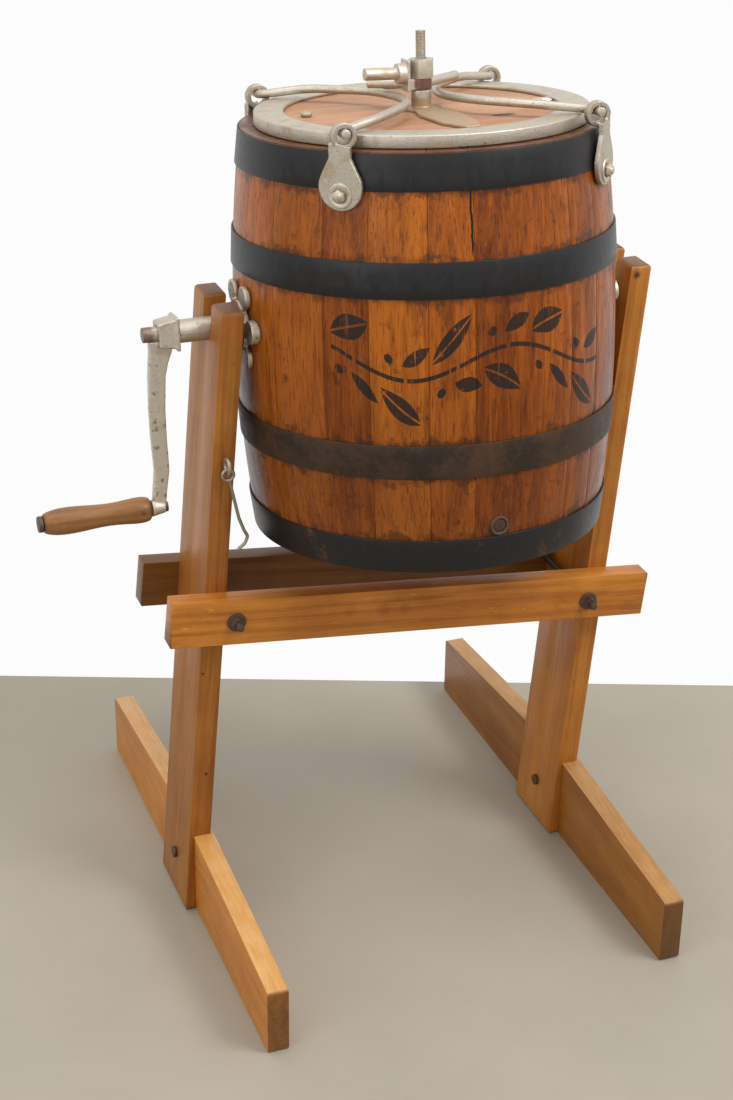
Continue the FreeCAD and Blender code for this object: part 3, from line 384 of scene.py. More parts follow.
def stave_finish(name, wood, tone, warm, seed, painted, cracks=False):
    """Varnished oak along the barrel's axis, with pores, rays, dark ends and the painted sprig."""
    finish = Finish(name, roughness=0.38, coat=0.06, specular=0.20)
    place = finish.barrel_place()
    x, y, z = finish.parts(place)
    shifted = finish.moved(shift=(seed * 0.31, seed * 0.17, seed * 0.77), source=place)
    long = finish.moved(stretch=(1, 1, 0.05), source=shifted)
    slow = finish.moved(stretch=(1, 1, 0.16), source=shifted)
    streak = finish.noise(long, 260.0, 4.0, 0.62, 0.3)
    pores = finish.noise(finish.moved(stretch=(1, 1, 0.06), source=shifted), 720.0, 3.0, 0.65)
    flame = finish.noise(slow, 38.0, 4.0, 0.6, 1.2)
    cloud = finish.noise(slow, 8.0, 3.0, 0.55)
    rays = finish.noise(finish.moved(stretch=(1, 1, 0.22), source=shifted), 210.0, 2.0, 0.5)
    share = finish.clamp((streak - 0.5) * 1.5 + (flame - 0.5) * 1.6 + (cloud - 0.5) * 1.0 + (0.46 - tone))
    base = finish.mix(share, wood.oak_light, wood.oak_dark)
    base = finish.mix(finish.smooth(pores, 0.54, 0.66) * 0.62, base, (0.040, 0.011, 0.003))
    base = finish.mix(finish.smooth(rays, 0.66, 0.74) * 0.30, base, shade(wood.oak_light, 1.35))
    base = finish.mix(1.0, base, warm, "MULTIPLY")
    # darker towards the bottom, with grime along the hoops and dark upper and lower rims
    low = finish.smooth(z, 0.02, -0.17)
    base = finish.mix(low * 0.38, base, (0.10, 0.028, 0.008))
    dirt = finish.noise(place, 46.0, 5.0, 0.7)
    grime = finish.smooth(dirt, 0.60, 0.76)
    for edge in HOOP_EDGES:
        beside = finish.smooth(finish.math("ABSOLUTE", z - edge), 0.014, 0.002)
        grime = finish.math("MAXIMUM", grime, finish.smooth(dirt + beside * 0.14, 0.56, 0.72))
    base = finish.mix(grime * 0.65, base, (0.030, 0.016, 0.009))
    chime = finish.smooth(finish.math("ABSOLUTE", z + 0.020), 0.2125, 0.2150)
    base = finish.mix(chime * 0.75, base, (0.045, 0.020, 0.010))
    height = streak * 0.4 - finish.smooth(pores, 0.54, 0.66) * 0.35
    rough = finish.clamp(dirt * 0.30 + streak * 0.12 + 0.10)
    if cracks:
        wave = finish.noise(finish.moved(stretch=(0, 0, 1), source=place), 60.0, 2.0)
        line = finish.math("ABSOLUTE", x + (wave - 0.5) * 0.004 + 0.0273)
        inside = finish.smooth(line, 0.0016, 0.0006) * finish.smooth(z, 0.094, 0.104)
        base = finish.mix(inside, base, (0.006, 0.003, 0.002))
    if painted:
        mask = sprig(finish, x, y, z)
        worn = finish.smooth(finish.noise(long, 300.0, 3.0, 0.7), 0.30, 0.42)
        rub = finish.smooth(finish.noise(place, 60.0, 4.0, 0.7), 0.26, 0.40)
        mask = mask * worn * rub * 0.94
        base = finish.mix(mask, base, wood.paint)
        rough = rough + mask * 0.12
    return finish.surface(base, rough, height=height, depth=0.00035)


def sprig(finish, x, y, z):
    """A stencilled vine round the front of the barrel: a waving stem with leaves and berries."""
    angle = finish.math("ARCTAN2", x, y * -1.0)
    u = (angle + 0.09) * 0.219
    v = z + 0.012
    wave = finish.math("SINE", u * 27.0 + 0.6)
    rise = wave * 0.017 - u * 0.03
    stem_line = finish.math("ABSOLUTE", v - rise)
    pitch = 0.056
    cell = finish.math("FLOOR", u / pitch)
    flip = (cell - finish.math("FLOOR", cell / 2.0) * 2.0) * 2.0 - 1.0
    across = u - (cell + 0.5) * pitch
    above = (v - rise) * flip
    fade = finish.smooth(finish.math("ABSOLUTE", u), 0.1675, 0.1665)
    lean_x, lean_y = 0.80, 0.60
    lx = (across + 0.006) * lean_x + (above - 0.030) * lean_y
    ly = (above - 0.030) * lean_x - (across + 0.006) * lean_y
    bow = finish.math("ABSOLUTE", ly) + (lx * lx) * 15.0
    leaf = finish.smooth(bow, 0.0118, 0.0109)
    vein = finish.smooth(finish.math("ABSOLUTE", ly + lx * 0.04), 0.0007, 0.0013)
    mx = (across - 0.011) * 0.86 - (above + 0.023) * 0.5
    my = (above + 0.023) * 0.86 + (across - 0.011) * 0.5
    small = finish.smooth(finish.math("ABSOLUTE", my) + (mx * mx) * 24.0, 0.0074, 0.0066)
    bx = across + 0.018
    by = above + 0.019
    berry = finish.smooth(bx * bx + by * by, 0.0000255, 0.0000205)
    stem = finish.smooth(stem_line, 0.0026, 0.0020)
    bridge = finish.smooth(finish.math("ABSOLUTE", across), 0.0013, 0.0022)
    shapes = finish.math("MAXIMUM", leaf * vein, small)
    shapes = finish.math("MAXIMUM", shapes, berry)
    shapes = finish.math("MAXIMUM", shapes, stem * bridge)
    return shapes * fade


def iron_finish(name, paint, rust, share, roughness=0.42):
    """Painted or bare iron with rust: share is how much of it has gone brown."""
    finish = Finish(name, metallic=0.0, roughness=roughness, coat=0.03, specular=0.27)
    place = finish.moved(turn=(TILT, 0, 0))
    big = finish.noise(place, 22.0, 5.0, 0.65)
    fine = finish.noise(place, 180.0, 4.0, 0.7)
    grit = finish.noise(place, 900.0, 2.0, 0.6)
    spread = finish.smooth(big * 0.7 + fine * 0.3, 0.60 - share * 0.45, 0.74 - share * 0.30)
    base = finish.mix(spread, paint, rust)
    base = finish.mix(finish.smooth(fine, 0.60, 0.72) * 0.35, base, shade(paint, 2.4, 0.02))
    base = finish.mix(finish.smooth(grit, 0.62, 0.75) * 0.4, base, shade(paint, 0.4))
    rough = finish.clamp(spread * 0.25 + fine * 0.25 + (roughness - 0.15))
    return finish.surface(base, rough, height=fine * 0.5 + grit * 0.35, depth=0.0004)


def tin_finish(name, metal, seed=0.0, stain=0.5, bright=1.0, rusty=(), spotted=0.0, soiled=0.0):
    """Tinned casting: dull grey, mottled yellow-brown, pitted, rusty at some spots."""
    finish = Finish(name, metallic=0.75, roughness=0.42)
    place = finish.moved(shift=(seed, seed * 0.7, seed * 0.3))
    big = finish.noise(place, 55.0, 5.0, 0.6)
    fine = finish.noise(place, 420.0, 4.0, 0.65)
    grit = finish.noise(place, 1500.0, 2.0, 0.6)
    base = finish.mix(finish.smooth(big, 0.48, 0.66) * stain, shade(metal.tin, bright), metal.tin_stain)
    base = finish.mix(finish.smooth(fine, 0.60, 0.72) * 0.45, base, (0.62, 0.59, 0.54))
    base = finish.mix(finish.smooth(fine, 0.42, 0.30) * 0.5, base, (0.13, 0.095, 0.06))
    spots = finish.noise(place, 120.0, 3.0, 0.6)
    base = finish.mix(finish.smooth(spots, 0.66 - spotted, 0.74 - spotted) * 0.7, base, (0.16, 0.075, 0.035))
    for mark in rusty:
        base = finish.spot(base, mark, fine, 0.5, 0.7, DEEP_RUST)
    rough = finish.clamp(big * 0.3 + fine * 0.35 + 0.12)
    shine = finish.clamp(0.95 - finish.smooth(big, 0.48, 0.66) * 0.45)
    if soiled:
        # brown up to a height above the lid's wood
        level = finish.parts(finish.barrel_place())[2]
        low = finish.smooth(level + (big - 0.5) * 0.012, 0.206 + soiled, 0.203 + soiled) * 0.75
        base = finish.mix(low, base, (0.40, 0.24, 0.12))
        shine = shine - low * 0.5
    return finish.surface(base, rough, metallic=shine, height=fine * 0.6 + grit * 0.3, depth=0.0005)


def steel_finish(name, metal, rusty):
    """Old dark steel, rusty in patches."""
    finish = Finish(name, metallic=0.6, roughness=0.55)
    place = finish.place
    big = finish.noise(place, 120.0, 5.0, 0.65)
    fine = finish.noise(place, 700.0, 3.0, 0.7)
    base = finish.mix(finish.smooth(big, 0.62 - rusty * 0.3, 0.70), metal.steel, metal.rust)
    base = finish.mix(finish.smooth(fine, 0.60, 0.72) * 0.4, base, (0.30, 0.26, 0.21))
    rough = finish.clamp(fine * 0.4 + 0.32)
    return finish.surface(base, rough, height=fine, depth=0.0004)


FINISHES = {}


def finish_of(key, make, *arguments, **words):
    """A finish is made once and shared."""
    if key not in FINISHES:
        FINISHES[key] = make(key, *arguments, **words)
    return FINISHES[key]


# Shapes

def piece(name, mesh, body, material=None, stands_for=()):
    """Links a finished mesh, puts it on its body and hides the CAD nodes that it stands for."""
    made = bpy.data.objects.new(name, mesh)
    bpy.context.scene.collection.objects.link(made)
    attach(made, body)
    if stands_for:
        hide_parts(*stands_for)
    if material:
        made.data.materials.clear()
        made.data.materials.append(material)
    return made


def node_bmesh(node):
    """A merged copy of a CAD node's mesh, with its flat faces joined up."""
    shape = bmesh.new()
    shape.from_mesh(NODES[node].data)
    bmesh.ops.remove_doubles(shape, verts=shape.verts, dist=0.00001)
    bmesh.ops.dissolve_limit(shape, angle_limit=math.radians(0.5), verts=shape.verts, edges=shape.edges)
    return shape


def ease_edges(shape, width, least=35, segments=2):
    """Rounds the sharp edges of a shape."""
    sharp = [e for e in shape.edges if len(e.link_faces) == 2 and e.calc_face_angle() > math.radians(least)]
    bmesh.ops.bevel(
        shape, geom=sharp, offset=width, offset_type="OFFSET", affect="EDGES", segments=segments,
        profile=0.5, material=-1, clamp_overlap=True,
    )


def to_mesh(shape, name, smooth=40):
    mesh = bpy.data.meshes.new(name)
    bmesh.ops.recalc_face_normals(shape, faces=shape.faces)
    shape.to_mesh(mesh)
    shape.free()
    mesh.polygons.foreach_set("use_smooth", [True] * len(mesh.polygons))
    mesh.set_sharp_from_angle(angle=math.radians(smooth))
    return mesh


def round_ends(shape, axis, low, high, width):
    """Wears the edges at both ends of a board well round; on a board along Y, only those along X."""
    ends = []
    for edge in shape.edges:
        if len(edge.link_faces) != 2 or edge.calc_face_angle() < math.radians(30):
            continue
        a, b = (v.co[axis] for v in edge.verts)
        at_end = max(a, b) < low + MM or min(a, b) > high - MM
        along_x = abs(edge.verts[0].co.x - edge.verts[1].co.x) > MM
        if at_end and (axis != 1 or along_x):
            ends.append(edge)
    bmesh.ops.bevel(
        shape, geom=ends, offset=width, offset_type="OFFSET", affect="EDGES", segments=4, profile=0.5,
        material=-1, clamp_overlap=True,
    )


def eased_node(node, width, material, body, name=None, least=35, segments=2, ends=None):
    """A copy of a CAD node with its edges worn round."""
    shape = node_bmesh(node)
    if ends:
        round_ends(shape, *ends)
    ease_edges(shape, width, least, segments)
    return piece(name or node + "_wood", to_mesh(shape, node), body, material, (node,))


def cast_node(node, material, body, voxel, name=None, smooth=4):
    """A copy of a CAD node with the soft corners of a casting."""
    shape = node_bmesh(node)
    made = piece(name or node + "_cast", to_mesh(shape, node), body, material, (node,))
    remesh = made.modifiers.new("Cast", "REMESH")
    remesh.mode = "VOXEL"
    remesh.voxel_size = voxel
    remesh.use_smooth_shade = True
    soften = made.modifiers.new("Soften", "SMOOTH")
    soften.iterations = smooth
    soften.factor = 0.5
    return made


def lathe(profile, place, steps):
    """Spins a closed profile of (radius, height) pairs about the Z of a place."""
    shape = bmesh.new()
    verts = [shape.verts.new((max(r, 0.0), 0, h)) for r, h in profile]
    edges = [shape.edges.new(pair) for pair in zip(verts, verts[1:])]
    edges.append(shape.edges.new((verts[-1], verts[0])))
    bmesh.ops.spin(
        shape, geom=verts + edges, cent=(0, 0, 0), axis=(0, 0, 1), angle=math.tau, steps=steps,
        use_merge=True,
    )
    bmesh.ops.remove_doubles(shape, verts=shape.verts, dist=0.000002)
    bmesh.ops.transform(shape, matrix=place, verts=shape.verts)
    return shape


def pointing(origin, direction):
    """A place at origin whose Z looks along a direction, both in the barrel's frame, in millimetres."""
    turn = Vector(direction).to_track_quat("Z", "Y").to_matrix().to_4x4()
    return BARREL @ Matrix.Translation(Vector(origin) * MM) @ turn


def scaled(profile):
    """A profile in metres, from millimetres."""
    return [(r * MM, h * MM) for r, h in profile]


class ChurnOperator:
    """What the churn's operators share."""

    bl_options = {"REGISTER", "UNDO"}

    @property
    def wood(self):
        return bpy.context.scene.churn_wood

    @property
    def metal(self):
        return bpy.context.scene.churn_metal


class CHURN_OT_stand(ChurnOperator, bpy.types.Operator):
    """Boards of the stand, with worn arrises and grain along each board"""

    bl_idname = "churn.stand"
    bl_label = "Stand"

    def execute(self, context):
        for node, (along, lean, tone, seed, worn) in BOARDS.items():
            low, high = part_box(node)
            axis = "XYZ".index(along)
            ends = (axis, low[axis], high[axis])
            material = finish_of(
                "pine_" + node, board_finish, tuple(self.wood.pine_light), tuple(self.wood.pine_dark),
                along, seed, lean, tone, dirt=0.4, ends=ends, marks=MARKS.get(node, ()), worn=worn,
            )
            end_round = 0.002 if along == "X" else 0.0045
            made = eased_node(
                node, self.wood.board_edge, material, "stand", least=30, segments=3,
                ends=(*ends, end_round),
            )
            # how far each face looks up; the finish makes these faces pale with rubbed wood and painted top
            # light
            upper = made.data.attributes.new("upper", "FLOAT", "FACE")
            upper.data.foreach_set("value", [max(0.0, p.normal.z) ** 2 for p in made.data.polygons])
        return {"FINISHED"}


class CHURN_OT_staves(ChurnOperator, bpy.types.Operator):
    """Staves, each with its own tone, and the bottom head"""

    bl_idname = "churn.staves"
    bl_label = "Staves"

    def execute(self, context):
        for index, tone in enumerate(STAVE_TONES, 1):
            node = "stave_%02d" % index
            tint = STAVE_TINTS[(index - 1) % len(STAVE_TINTS)]
            material = finish_of(
                "oak_%02d" % index, stave_finish, self.wood, tone, tint, float(index),
                index in PAINTED_STAVES, index == CRACKED_STAVE,
            )
            eased_node(node, self.wood.stave_edge, material, "barrel", least=40)
        material = finish_of(
            "oak_head", board_finish, tuple(self.wood.oak_light), tuple(self.wood.oak_dark), "Y", 9.0,
            tone=0.7,
        )
        eased_node("bottom_head", 0.001, material, "barrel")
        return {"FINISHED"}


class CHURN_OT_hoops(ChurnOperator, bpy.types.Operator):
    """Hoops with rounded edges"""

    bl_idname = "churn.hoops"
    bl_label = "Hoops"

    def execute(self, context):
        black = tuple(self.metal.black)
        rust = tuple(self.metal.rust)
        looks = {
            "hoop_top": (black, rust, -0.08),
            "hoop_second": (black, rust, -0.08),
            "hoop_third": (WORN_IRON, WORN_RUST, 0.45, 0.5),
            "hoop_bottom": (black, rust, 0.08),
        }
        for node, look in looks.items():
            material = finish_of(node, iron_finish, *look)
            eased_node(node, 0.0006, material, "barrel", name=node + "_band", least=40)
        return {"FINISHED"}


class CHURN_OT_castings(ChurnOperator, bpy.types.Operator):
    """Lugs, trunnions and crank with the soft corners of castings"""

    bl_idname = "churn.castings"
    bl_label = "Castings"

    def execute(self, context):
        voxel = self.metal.cast_voxel
        for index, node in enumerate(n for n in sorted(NODES) if n.startswith("lug_") and "bolt" not in n):
            material = finish_of("tin_" + node, tin_finish, self.metal, 0.3 + index, stain=0.8, bright=0.78)
            cast_node(node, material, "barrel", voxel * 0.8)
        looks = {
            "trunnion_left": {"stain": 0.6, "bright": 0.9, "rusty": self.shaft_rust(), "spotted": 0.06},
            "trunnion_right": {"stain": 0.45},
            "crank": {"stain": 0.45, "bright": 0.98, "spotted": 0.07},
        }
        for index, (node, look) in enumerate(looks.items()):
            material = finish_of("tin_" + node, tin_finish, self.metal, 2.3 + index, **look)
            cast_node(node, material, "barrel", voxel)
        dark = finish_of("dark_steel", steel_finish, self.metal, 0.5)
        wire = finish_of("hook_steel", tin_finish, self.metal, 4.4, stain=0.9, bright=0.6)
        bolt = finish_of("tin_bolt", tin_finish, self.metal, 6.1, stain=0.7, bright=0.95)
        for node in sorted(NODES):
            if node.startswith("lug_bolt"):
                eased_node(node, 0.0009, bolt, "barrel", name=node + "_steel")
            if node.startswith(("tie_", "foot_bolt", "screw_eye")):
                look = wire if node == "screw_eye" else dark
                eased_node(node, 0.0005, look, "stand", name=node + "_steel")
        eased_node("hook", 0.0002, wire, "hook", name="hook_wire", least=60)
        knob = finish_of("spindle_dark", steel_finish, self.metal, 0.9)
        eased_node("spindle", 0.0036, knob, "barrel", name="spindle_pin", segments=6)
        bush = finish_of("bush_iron", steel_finish, self.metal, 0.9)
        eased_node("drain_bush", 0.0008, bush, "barrel", name="drain_ring")
        plug = finish_of("plug_dark", board_finish, (0.10, 0.05, 0.03), (0.03, 0.015, 0.01), "Y", 3.0)
        eased_node("drain_plug", 0.001, plug, "drain_plug", name="drain_stopper")
        return {"FINISHED"}

    def shaft_rust(self):
        """Rusty places of the crank's shaft: its end and beside the post."""
        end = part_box("trunnion_left")[0].x
        y, z = TRUNNION.y, TRUNNION.z
        radius = 0.016
        return [(end, y, z, radius, 0.7), (end + 0.095, y, z + 0.010, radius, 0.6)]


class CHURN_OT_grip(ChurnOperator, bpy.types.Operator):
    """Turned wooden grip"""

    bl_idname = "churn.grip"
    bl_label = "Grip"

    def execute(self, context):
        low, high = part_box("grip")
        long = (high.x - low.x) / MM
        axis = Vector(JOINTS["grip_spin"]["pos_m"])
        bore = 4.62
        # share of the length from the crank, and radius there in millimetres
        shape = [
            (0.0, 10.9), (0.012, 12.2), (0.04, 13.5), (0.1, 14.1), (0.16, 13.8), (0.25, 12.7), (0.37, 11.8),
            (0.48, 12.1), (0.6, 13.3), (0.72, 14.3), (0.82, 14.4), (0.9, 13.4), (0.96, 11.7), (1.0, 9.7),
        ]
        profile = [(bore, 0.0)] + [(r, h * long) for h, r in shape] + [(bore, long)]
        turn = Matrix.Rotation(-math.pi / 2, 4, "Y")
        place = Matrix.Translation((high.x, axis.y, axis.z)) @ turn
        body = lathe(scaled(profile), place, steps=56)
        mesh = to_mesh(body, "grip", 50)
        material = finish_of(
            "grip_wood", board_finish, tuple(self.wood.grip_light), tuple(self.wood.grip_dark), "X", 7.0,
            tone=0.86, roughness=0.36, contrast=1.2, dirt=1.4, ends=(0, low.x, high.x),
        )
        made = piece("grip_turned", mesh, "grip", material, ("grip",))
        rounder = made.modifiers.new("Round", "SUBSURF")
        rounder.levels = 2
        rounder.render_levels = 2
        return {"FINISHED"}


class CHURN_OT_lid(ChurnOperator, bpy.types.Operator):
    """Lid ring, wooden disc, packing and peg"""

    bl_idname = "churn.lid"
    bl_label = "Lid"

    def execute(self, context):
        ring = finish_of("tin_ring", tin_finish, self.metal, 5.0, stain=0.8, bright=0.90)
        eased_node("lid_ring", 0.0014, ring, "lid", name="lid_rim", segments=3)
        peg = finish_of("tin_peg", tin_finish, self.metal, 5.5, stain=1.0, bright=0.8, spotted=0.08)
        into = BARREL.inverted()
        top = max((into @ v.co).z for v in NODES["lid_wood"].data.vertices)
        # three spots side by side make the long knot
        knot = [(*(BARREL @ Vector((x * MM, -0.0686, top))), 0.0085, 0.95) for x in (55, 61.7, 68.4)]
        disc = finish_of(
            "lid_disc", board_finish, tuple(self.wood.lid_light), tuple(self.wood.lid_dark), "X", 8.0,
            tone=0.86, roughness=0.6, contrast=1.3, dirt=1.0, marks=knot,
        )
        eased_node("lid_wood", 0.001, disc, "lid", name="lid_disc")
        eased_node("lid_peg", 0.0022, peg, "lid", name="lid_peg_cap", segments=4)
        cork = finish_of("packing", board_finish, (0.3, 0.2, 0.12), (0.12, 0.07, 0.04), "X", 2.0)
        eased_node("lid_gasket", 0.0004, cork, "lid", name="lid_packing")
        return {"FINISHED"}


class CHURN_OT_clamp(ChurnOperator, bpy.types.Operator):
    """Foot casting with its rod, clamp head, nut and bails"""

    bl_idname = "churn.clamp"
    bl_label = "Clamp"

    def execute(self, context):
        voxel = self.metal.cast_voxel
        tin = finish_of("tin_clamp", tin_finish, self.metal, 7.0, stain=0.7, bright=0.92)
        foot = finish_of(
            "tin_foot", tin_finish, self.metal, 7.8, stain=0.9, bright=0.9, spotted=0.02, soiled=0.0125
        )
        cast_node("lid_foot", foot, "lid", voxel * 0.8, name="lid_foot_cast", smooth=3)
        band = (*(BARREL @ (Vector((0, -9, 232)) * MM)), 0.012, 0.85)
        head = finish_of("tin_head", tin_finish, self.metal, 7.4, stain=0.6, bright=0.95, rusty=[band])
        cast_node(
            "clamp_head", head, "clamp_head", voxel * 0.7, name="clamp_head_cast", smooth=3
        )
        eased_node("clamp_nut", 0.0018, tin, "clamp_nut", name="clamp_nut_block", segments=3)
        wire = finish_of("tin_wire", tin_finish, self.metal, 9.0, stain=0.35, bright=0.9)
        for node in ("bail_left", "bail_right"):
            eased_node(node, 0.0008, wire, node, name=node + "_wire", least=60)
        return {"FINISHED"}


class CHURN_OT_details(ChurnOperator, bpy.types.Operator):
    """Round pads under the lug nuts, hoop laps with rivets, the rod's thread and the lump on the lid"""

    bl_idname = "churn.details"
    bl_label = "Details"

    def execute(self, context):
        tin = finish_of("tin_pad", tin_finish, self.metal, 8.3, stain=0.8, bright=0.95)
        into = BARREL.inverted()
        behind_end = 8
        # radius and height over the lug's face, in millimetres
        pad = [(7.5, -1.0), (12.6, -1.0), (12.6, 0.7), (12.0, 1.4), (11.2, 1.6), (8.6, 1.3), (7.5, 1.0)]
        for node in sorted(n for n in NODES if n.startswith("lug_bolt")):
            ends = [into @ v.co / MM for v in NODES[node].data.vertices]
            middle = sum(ends, Vector()) / len(ends)
            out = Vector((middle.x, middle.y, 0)).normalized()
            reach = max(e.xy.dot(out.xy) for e in ends)
            place = pointing(out * (reach - behind_end) + Vector((0, 0, middle.z)), out)
            shape = lathe(scaled(pad), place, steps=40)
            piece(node + "_pad", to_mesh(shape, node, 30), "barrel", tin)
        black = finish_of("hoop_lap", iron_finish, tuple(self.metal.black), tuple(self.metal.rust), 0.2)
        worn = finish_of("hoop_lap_worn", iron_finish, WORN_IRON, WORN_RUST, 0.45, 0.5)
        for node, angle in HOOP_LAPS.items():
            self.lap(node, math.radians(angle), worn if node == "hoop_third" else black)
        self.thread()
        self.lump()
        return {"FINISHED"}

    def lap(self, node, angle, material):
        """The outer end of a hoop: a thin strip over the hoop with two round rivet heads."""
        into = BARREL.inverted()
        rings = {}
        for vert in NODES[node].data.vertices:
            spot = into @ vert.co / MM
            key = round(spot.z, 1)
            rings[key] = max(rings.get(key, 0), spot.xy.length)
        high, low = max(rings), min(rings)
        shape = bmesh.new()
        steps, spread, margin, inside, outside = 12, 0.20, 0.4, -0.5, 1.1
        columns = [angle + (i / steps - 0.5) * spread for i in range(steps + 1)]
        rows = []
        for z in (high - margin, low + margin):
            radius = rings[high] + (rings[low] - rings[high]) * (high - z) / (high - low)
            rows.append([
                [shape.verts.new(((radius + up) * MM * math.cos(a), (radius + up) * MM * math.sin(a), z * MM))
                 for a in columns] for up in (inside, outside)
            ])
        (in_top, out_top), (in_low, out_low) = rows
        for i in range(steps):
            for a, b in ((out_top, out_low), (in_low, in_top), (in_top, out_top), (out_low, in_low)):
                shape.faces.new((a[i], a[i + 1], b[i + 1], b[i]))
        for i in (0, steps):
            shape.faces.new((in_top[i], out_top[i], out_low[i], in_low[i]))
        bmesh.ops.recalc_face_normals(shape, faces=shape.faces)
        ease_edges(shape, 0.0004, 50)
        flattened = Matrix.Diagonal((0.45, 1, 1, 1))
        for share in (0.28, 0.72):
            z = high + (low - high) * share
            radius = rings[high] + (rings[low] - rings[high]) * share + 1.0
            made = bmesh.ops.create_uvsphere(shape, u_segments=20, v_segments=12, radius=0.0045)
            turn = Matrix.Rotation(angle, 4, "Z") @ Matrix.Translation((radius * MM, 0, z * MM))
            bmesh.ops.transform(shape, matrix=turn @ flattened, verts=made["verts"])
        bmesh.ops.transform(shape, matrix=BARREL, verts=shape.verts)
        piece(node + "_lap", to_mesh(shape, node, 35), "barrel", material)

    def thread(self):
        """Thread on the rod above the nut and in the nut: close ridges within the rod's length."""
        core, root, crest = 4.0, 4.75, 5.15
        pitch, first, last = 1.5, 258.2, 284.0
        ridges = []
        z = first
        while z < last:
            ridges += [(root, z), (crest, z + 0.55), (crest, z + 0.75), (root, z + 1.3)]
            z += pitch
        profile = [(core, 258.0)] + ridges + [(core, 284.2)]
        shape = lathe(scaled(profile), BARREL, steps=32)
        rod = finish_of("rod_steel", tin_finish, self.metal, 3.3, stain=0.9, bright=0.5)
        piece("rod_thread", to_mesh(shape, "thread", 30), "lid", rod)
        inner = [(4.95, 250.0), (6.0, 250.0), (6.0, 256.2), (4.95, 255.6)]
        shape = lathe(scaled(inner), BARREL, steps=32)
        piece("nut_thread", to_mesh(shape, "nut_thread", 30), "clamp_nut", rod)

    def lump(self):
        """The low lump of solder near the lid's edge."""
        shape = bmesh.new()
        bmesh.ops.create_icosphere(shape, subdivisions=4, radius=0.010)
        for vert in shape.verts:
            vert.co *= 1 + 0.25 * noise.noise(vert.co * 160)
        flattened = Matrix.Diagonal((1.2, 0.7, 0.28, 1))
        seat = Matrix.Translation(Vector((131, -15, 207)) * MM) @ flattened
        bmesh.ops.transform(shape, matrix=BARREL @ seat, verts=shape.verts)
        tin = finish_of("tin_lump", tin_finish, self.metal, 2.2, stain=0.9)
        piece("lid_lump", to_mesh(shape, "lump", 60), "lid", tin)


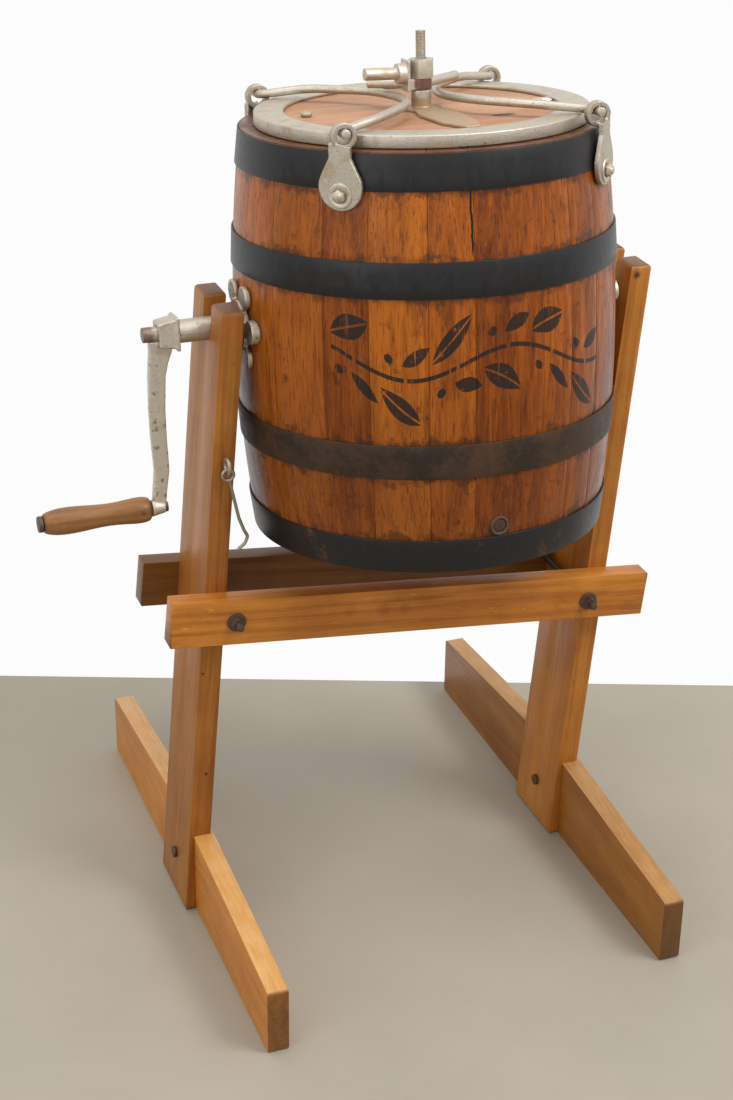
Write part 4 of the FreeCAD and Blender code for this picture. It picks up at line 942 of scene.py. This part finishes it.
class CHURN_OT_stage(ChurnOperator, bpy.types.Operator):
    """Camera, pale floor, white backdrop and soft light"""

    bl_idname = "churn.stage"
    bl_label = "Stage"

    def execute(self, context):
        scene = context.scene
        stage = scene.churn_stage
        self.camera(scene)
        flat = Vector((math.sin(CAMERA_YAW), math.cos(CAMERA_YAW), 0))
        side = Vector((math.cos(CAMERA_YAW), -math.sin(CAMERA_YAW), 0))
        foot = Vector((CAMERA_EYE.x, CAMERA_EYE.y, 0)) + flat * stage.wall_distance
        floor = self.sheet("floor", [Vector((x, y, 0)) for x, y in ((-9, -9), (9, -9), (9, 9), (-9, 9))])
        floor.data.materials.append(self.floor_finish(tuple(stage.floor)))
        left, right, up = foot - side * 6, foot + side * 6, Vector((0, 0, 5))
        wall = self.sheet("backdrop", [left, right, right + up, left + up])
        wall.data.materials.append(self.wall_finish(tuple(stage.wall)))
        wall.visible_shadow = False
        wall.visible_diffuse = False
        self.light("key", 1.2, stage.key, Vector((1.5, -1.5, 2.9)))
        self.light("fill", 2.2, stage.fill * 1.3, Vector((-2.5, -1.4, 1.9)))
        self.light("top", 2.0, stage.fill * 1.6, Vector((-0.2, 0.3, 3.1)))
        scene.world = self.sky(stage.sky)
        scene.view_settings.view_transform = "Standard"
        return {"FINISHED"}

    def camera(self, scene):
        """The camera, in front of the churn and above it."""
        level = math.cos(CAMERA_PITCH)
        forward = Vector((math.sin(CAMERA_YAW) * level, math.cos(CAMERA_YAW) * level, math.sin(CAMERA_PITCH)))
        right = Vector((math.cos(CAMERA_YAW), -math.sin(CAMERA_YAW), 0))
        down = forward.cross(right)
        turned_right = right * math.cos(CAMERA_ROLL) - down * math.sin(CAMERA_ROLL)
        turned_down = right * math.sin(CAMERA_ROLL) + down * math.cos(CAMERA_ROLL)
        camera = bpy.data.cameras.new("Camera")
        camera.sensor_width = 36
        camera.lens = CAMERA_LENS
        holder = bpy.data.objects.new("Camera", camera)
        scene.collection.objects.link(holder)
        axes = Matrix((turned_right, -turned_down, -forward)).transposed().to_4x4()
        holder.matrix_world = Matrix.Translation(CAMERA_EYE) @ axes
        scene.camera = holder

    def sky(self, strength):
        """Even light all round, seen as plain white by the camera and in metal."""
        world = bpy.data.worlds.new("Sky")
        world.use_nodes = True
        network = Network(world.node_tree)
        back = network.tree.nodes["Background"]
        rays = network.node("ShaderNodeLightPath").outputs
        seen = rays["Is Camera Ray"]
        for other in ("Is Glossy Ray", "Is Transmission Ray"):
            seen = network.math("MAXIMUM", seen, rays[other])
        level = network.node("ShaderNodeMapRange", {}, Value=seen, To_Min=strength, To_Max=1.0)
        network.feed(back.inputs["Color"], (1, 1, 1))
        network.feed(back.inputs["Strength"], level.outputs[0])
        return world

    def sheet(self, name, corners):
        """A flat sheet with the given corners."""
        shape = bmesh.new()
        shape.faces.new([shape.verts.new(c) for c in corners])
        mesh = bpy.data.meshes.new(name)
        shape.to_mesh(mesh)
        shape.free()
        made = bpy.data.objects.new(name, mesh)
        bpy.context.scene.collection.objects.link(made)
        return made

    def floor_finish(self, tone):
        """Plain floor, faintly clouded."""
        finish = Finish("floor_pale", roughness=0.75)
        cloud = finish.noise(finish.place, 2.2, 5.0, 0.6)
        speck = finish.noise(finish.place, 60.0, 3.0, 0.6)
        base = finish.mix(finish.smooth(cloud, 0.3, 0.7), shade(tone, 0.93), shade(tone, 1.05))
        base = finish.mix(finish.smooth(speck, 0.55, 0.8) * 0.12, base, shade(tone, 0.7))
        return finish.surface(base)

    def wall_finish(self, tone):
        """White from the front and clear from behind, so that it never hides the churn."""
        finish = Finish("backdrop_white", roughness=0.9)
        shine = finish.node("ShaderNodeEmission", {}, Color=tone, Strength=1.0)
        clear = finish.node("ShaderNodeBsdfTransparent")
        behind = finish.node("ShaderNodeNewGeometry").outputs["Backfacing"]
        mixed = finish.node("ShaderNodeMixShader", {}, i0=behind, i1=shine.outputs[0], i2=clear.outputs[0])
        finish.feed(finish.tree.nodes["Material Output"].inputs["Surface"], mixed.outputs[0])
        return finish.material

    def light(self, name, size, power, place):
        """A square lamp that looks at the churn."""
        lamp = bpy.data.lights.new(name, "AREA")
        lamp.size = size
        lamp.energy = power
        made = bpy.data.objects.new(name, lamp)
        bpy.context.scene.collection.objects.link(made)
        aim = Vector((0.1, 0, 0.5)) - place
        made.matrix_world = Matrix.Translation(place) @ aim.to_track_quat("-Z", "Y").to_matrix().to_4x4()


OPERATORS = (
    CHURN_OT_stage, CHURN_OT_stand, CHURN_OT_staves, CHURN_OT_hoops, CHURN_OT_castings, CHURN_OT_grip,
    CHURN_OT_lid, CHURN_OT_clamp, CHURN_OT_details,
)


class CHURN_PT_panel(bpy.types.Panel):
    """The churn's operators, in the order in which they run"""

    bl_label = "Churn"
    bl_space_type = "VIEW_3D"
    bl_region_type = "UI"
    bl_category = "Churn"

    def draw(self, context):
        for group in (context.scene.churn_wood, context.scene.churn_metal, context.scene.churn_stage):
            column = self.layout.column(align=True)
            for name in group.__annotations__:
                column.prop(group, name)
        for operator in OPERATORS:
            self.layout.operator(operator.bl_idname)


GROUPS = {"churn_wood": ChurnWood, "churn_metal": ChurnMetal, "churn_stage": ChurnStage}


def register():
    for kind in (*GROUPS.values(), *OPERATORS, CHURN_PT_panel):
        bpy.utils.register_class(kind)
    for name, kind in GROUPS.items():
        setattr(bpy.types.Scene, name, PointerProperty(type=kind))


def unregister():
    for name in GROUPS:
        delattr(bpy.types.Scene, name)
    for kind in (CHURN_PT_panel, *reversed(OPERATORS), *GROUPS.values()):
        bpy.utils.unregister_class(kind)


def main():
    register()
    for operator in OPERATORS:
        group, name = operator.bl_idname.split(".")
        getattr(getattr(bpy.ops, group), name)()


if __name__ == "__main__":
    main()
